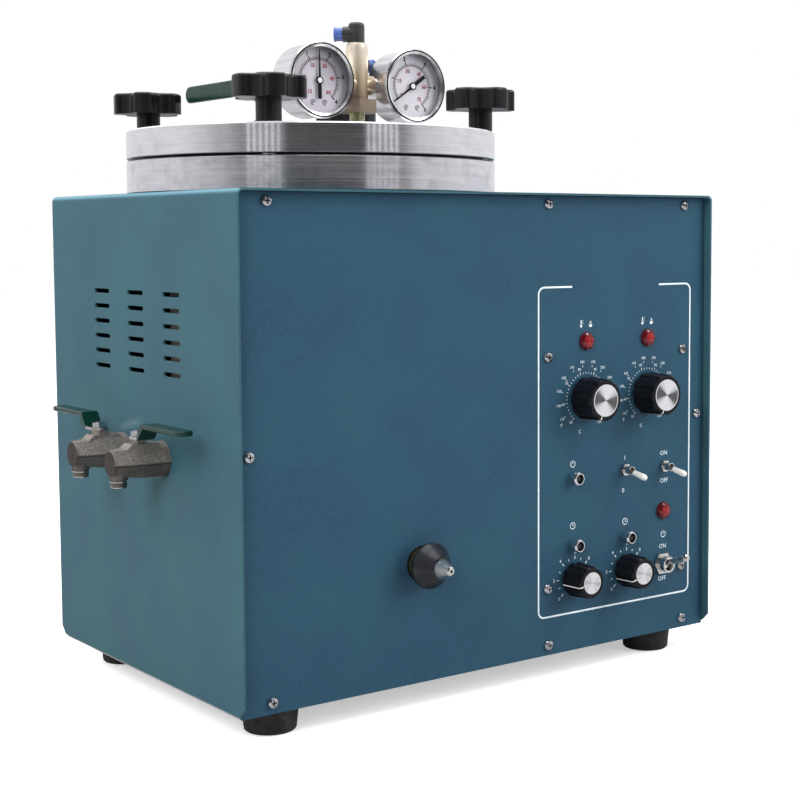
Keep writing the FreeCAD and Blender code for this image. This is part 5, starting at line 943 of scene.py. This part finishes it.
def nozzle_coil():
    """Round-wire spring between the neck and the collar, built at one fixed length; the real spring shortens
    as the nozzle is pressed.
    """
    low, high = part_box("nozzle_spring")
    middle = centre("nozzle_spring")
    half = SPRING_WIRE / 2
    radius = (high.x - low.x) / 2 - half
    mesh = bmesh.new()
    rows = []
    for i in range(SPRING_STEPS + 1):
        share = i / SPRING_STEPS
        turn = 2 * math.pi * SPRING_TURNS * share
        out = Vector((math.cos(turn), 0, math.sin(turn)))
        start = Vector((middle.x, high.y - half - (high.y - low.y - SPRING_WIRE) * share, middle.z))
        leans = [2 * math.pi * k / SPRING_SIDES for k in range(SPRING_SIDES)]
        rows.append([mesh.verts.new(start + out * (radius + half * math.cos(lean))
                                    + Vector((0, half * math.sin(lean), 0))) for lean in leans])
    for a, b in zip(rows, rows[1:]):
        for k in range(SPRING_SIDES):
            mesh.faces.new((a[k - 1], a[k], b[k], b[k - 1]))
    mesh.faces.new(rows[0])
    mesh.faces.new(rows[-1][::-1])
    bmesh.ops.recalc_face_normals(mesh, faces=mesh.faces)
    coil = make_piece("nozzle_coil", mesh, SPRING, "case", True)
    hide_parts("nozzle_spring")
    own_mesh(coil)


DIAL_POINTERS = {"temp_dial_1": -108.0, "temp_dial_2": -108.0, "time_dial_1": -168.0, "time_dial_2": -156.0}
DIAL_TAPER = 0.7           # how much less the radius is at the nose
POINTER_HALF = 0.4         # half the line's width


def dial_pointers():
    """White line down the side and over the rim of each knob."""
    for name, degrees in DIAL_POINTERS.items():
        low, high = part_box(name)
        middle = centre(name)
        radius = (high.x - low.x) / 2
        nose = radius - DIAL_TAPER * MM
        face = low.y + 0.3 * MM
        turn = math.radians(degrees)
        out = Vector((math.cos(turn), 0, math.sin(turn)))
        side = Vector((-math.sin(turn), 0, math.cos(turn))) * POINTER_HALF * MM
        path = [(radius + 0.06 * MM, PANEL_Y - 1.8 * MM), (nose + 0.08 * MM, face + 1.25 * MM),
                (nose - 1.15 * MM, face - 0.06 * MM), (cap_radius(name) + 0.3 * MM, face - 0.06 * MM)]
        mesh = bmesh.new()
        rows = []
        for r, y in path:
            base = Vector((middle.x, y, middle.z)) + out * r
            rows.append((mesh.verts.new(base - side), mesh.verts.new(base + side)))
        for a, b in zip(rows, rows[1:]):
            mesh.faces.new((a[0], a[1], b[1], b[0]))
        make_piece(name + "_pointer", mesh, WHITE_SLEEVE, name + "_body")


# ------------------------------------------------------------------ stage, light and camera
# the camera that was fitted to the case in the photograph: focal length and principal point in the picture's
# pixels, place in millimetres as for at(), and angles in degrees
FOCAL_PX = 1582.64
PHOTO_PX = 800.0
PRINCIPAL = (470.68, 360.98)
CAMERA_AT = (-669.76, -975.75, 315.72)
CAMERA_YAW = 37.495
CAMERA_PITCH = 4.551
CAMERA_ROLL = -0.185
SENSOR = 36.0
FLOOR_DROP = 0.5 * MM      # of the floor below the feet


def camera():
    data = bpy.data.cameras.new("camera")
    data.sensor_width = SENSOR
    data.lens = FOCAL_PX / PHOTO_PX * SENSOR
    data.shift_x = (PHOTO_PX / 2 - PRINCIPAL[0]) / PHOTO_PX
    data.shift_y = (PRINCIPAL[1] - PHOTO_PX / 2) / PHOTO_PX
    data.clip_start, data.clip_end = 0.01, 100.0
    yaw, pitch, roll = (math.radians(a) for a in (CAMERA_YAW, CAMERA_PITCH, CAMERA_ROLL))
    ahead = Vector((math.sin(yaw) * math.cos(pitch), math.cos(yaw) * math.cos(pitch), -math.sin(pitch)))
    right = Vector((math.cos(yaw), -math.sin(yaw), 0))
    up = right.cross(ahead)
    tilted = math.cos(roll) * right + math.sin(roll) * up
    upper = math.cos(roll) * up - math.sin(roll) * right
    holder = bpy.data.objects.new("camera", data)
    bpy.context.scene.collection.objects.link(holder)
    turned = Matrix((tilted, upper, -ahead)).transposed().to_4x4()
    holder.matrix_world = Matrix.Translation(at(*CAMERA_AT)) @ turned
    bpy.context.scene.camera = holder


def floor():
    """White for the camera, and grey for the light that it sends back to the object."""
    mesh = bmesh.new()
    bmesh.ops.create_grid(mesh, x_segments=1, y_segments=1, size=8.0)
    data = bpy.data.meshes.new("floor")
    mesh.to_mesh(data)
    mesh.free()
    g = Graph("floor_white")
    g.set(Base_Color=g.ramp(g.noise(3.0), (0.3, (0.93, 0.93, 0.93)), (0.7, (0.95, 0.95, 0.95))),
          Roughness=0.9, Emission_Color=(1, 1, 1, 1), Emission_Strength=0.45)
    grey = g.nodes.new("ShaderNodeBsdfDiffuse")
    grey.inputs["Color"].default_value = (0.42, 0.42, 0.42, 1)
    both = g.nodes.new("ShaderNodeMixShader")
    g.put(both.inputs[0], g.nodes.new("ShaderNodeLightPath").outputs["Is Camera Ray"])
    g.put(both.inputs[1], grey.outputs[0])
    g.put(both.inputs[2], g.shader.outputs[0])
    g.put(g.nodes["Material Output"].inputs["Surface"], both.outputs[0])
    data.materials.append(g.material)
    holder = bpy.data.objects.new("floor", data)
    holder.location.z = -FLOOR_DROP
    bpy.context.scene.collection.objects.link(holder)


def softbox(name, place, target, size, power, mirrored=False):
    """A square light; where it isn't mirrored, gloss shows the bright room instead."""
    data = bpy.data.lights.new(name, "AREA")
    data.shape = "RECTANGLE"
    data.size, data.size_y = size
    data.energy = power
    holder = bpy.data.objects.new(name, data)
    holder.location = place
    holder.visible_glossy = mirrored
    holder.rotation_mode = "QUATERNION"
    holder.rotation_quaternion = (Vector(target) - Vector(place)).to_track_quat("-Z", "Y")
    bpy.context.scene.collection.objects.link(holder)


BAY_MIDDLE = 245.0         # degrees round from +x: the middle of the dark bay behind the camera
STRIP_EVERY = 3.7          # degrees from one strip light to the next
STRIPS_FROM, STRIPS_TO = 26.0, 48.0    # degrees from the bay's middle, to either side
STRIP_TONE = (1.5, 1.5, 1.55)
# the room's tone by degrees from the bay's middle
ROOM_TONES = ((-180, 0.80), (-92, 0.84), (-62, 0.50), (-48, 0.26), (-24, 0.20), (-22, 0.055),
              (24, 0.055), (26, 0.20), (50, 0.26), (60, 0.62), (95, 0.88), (180, 0.80))


def world():
    """White for the camera; for the rest a bright room with a dark bay, edged by narrow strip lights."""
    made = bpy.data.worlds.new("studio")
    bpy.context.scene.world = made
    g = Graph("studio", made)
    way = g.nodes.new("ShaderNodeTexCoord").outputs["Generated"]
    turn = math.radians(BAY_MIDDLE)
    ahead, across = [g.dot(way, axis) for axis in ((math.cos(turn), math.sin(turn), 0),
                                                   (-math.sin(turn), math.cos(turn), 0))]
    degrees = g.times(g.calc("ARCTAN2", across, ahead), 180.0 / math.pi)
    stops = [((spot + 180.0) / 360.0, (tone, tone, tone * 1.03)) for spot, tone in ROOM_TONES]
    room = g.ramp(g.span(degrees, 0.0, 1.0, -180.0, 180.0), *stops)
    off = g.size(degrees)
    wave = g.calc("SINE", g.times(off, 2 * math.pi / STRIP_EVERY))
    strips = g.times(g.span(wave, 0.0, 1.0, 0.45, 0.95),
                     g.times(g.span(off, 0.0, 1.0, STRIPS_FROM, STRIPS_FROM + 1.0),
                             g.span(off, 1.0, 0.0, STRIPS_TO - 1.0, STRIPS_TO)))
    lit = g.mix(strips, room, STRIP_TONE)
    background = g.nodes["Background"]
    camera_ray = g.nodes.new("ShaderNodeLightPath").outputs["Is Camera Ray"]
    g.put(background.inputs["Color"], g.mix(camera_ray, lit, (1.0, 1.0, 1.0)))
    background.inputs["Strength"].default_value = 1.0


def lights():
    target = at(0, 0, 200)
    softbox("key_left", at(-1500, -700, 1300), target, (1.2, 1.2), 30.0)
    softbox("fill_right", at(1300, -1500, 900), target, (1.4, 1.0), 26.0)
    softbox("top", at(0, 200, 1900), target, (1.6, 1.6), 22.0, True)
    softbox("spark", at(900, -1000, 1400), target, (0.34, 0.34), 6.0, True)
    softbox("back_left", at(-900, 1700, 1000), target, (1.0, 1.0), 16.0)


# ------------------------------------------------------------------ the scene
finish_nodes()
finish_dials()
finish_manifold()
finish_side_valves()
finish_leds()
finish_lamps()
finish_gauge_faces()
finish_toggles()
panel_print()
gauge_prints()
needle_hubs()
bezel_lines()
screw_crosses()
outlet_rims()
nozzle_coil()
dial_pointers()
floor()
world()
lights()
camera()
bpy.context.scene.view_settings.view_transform = "Standard"
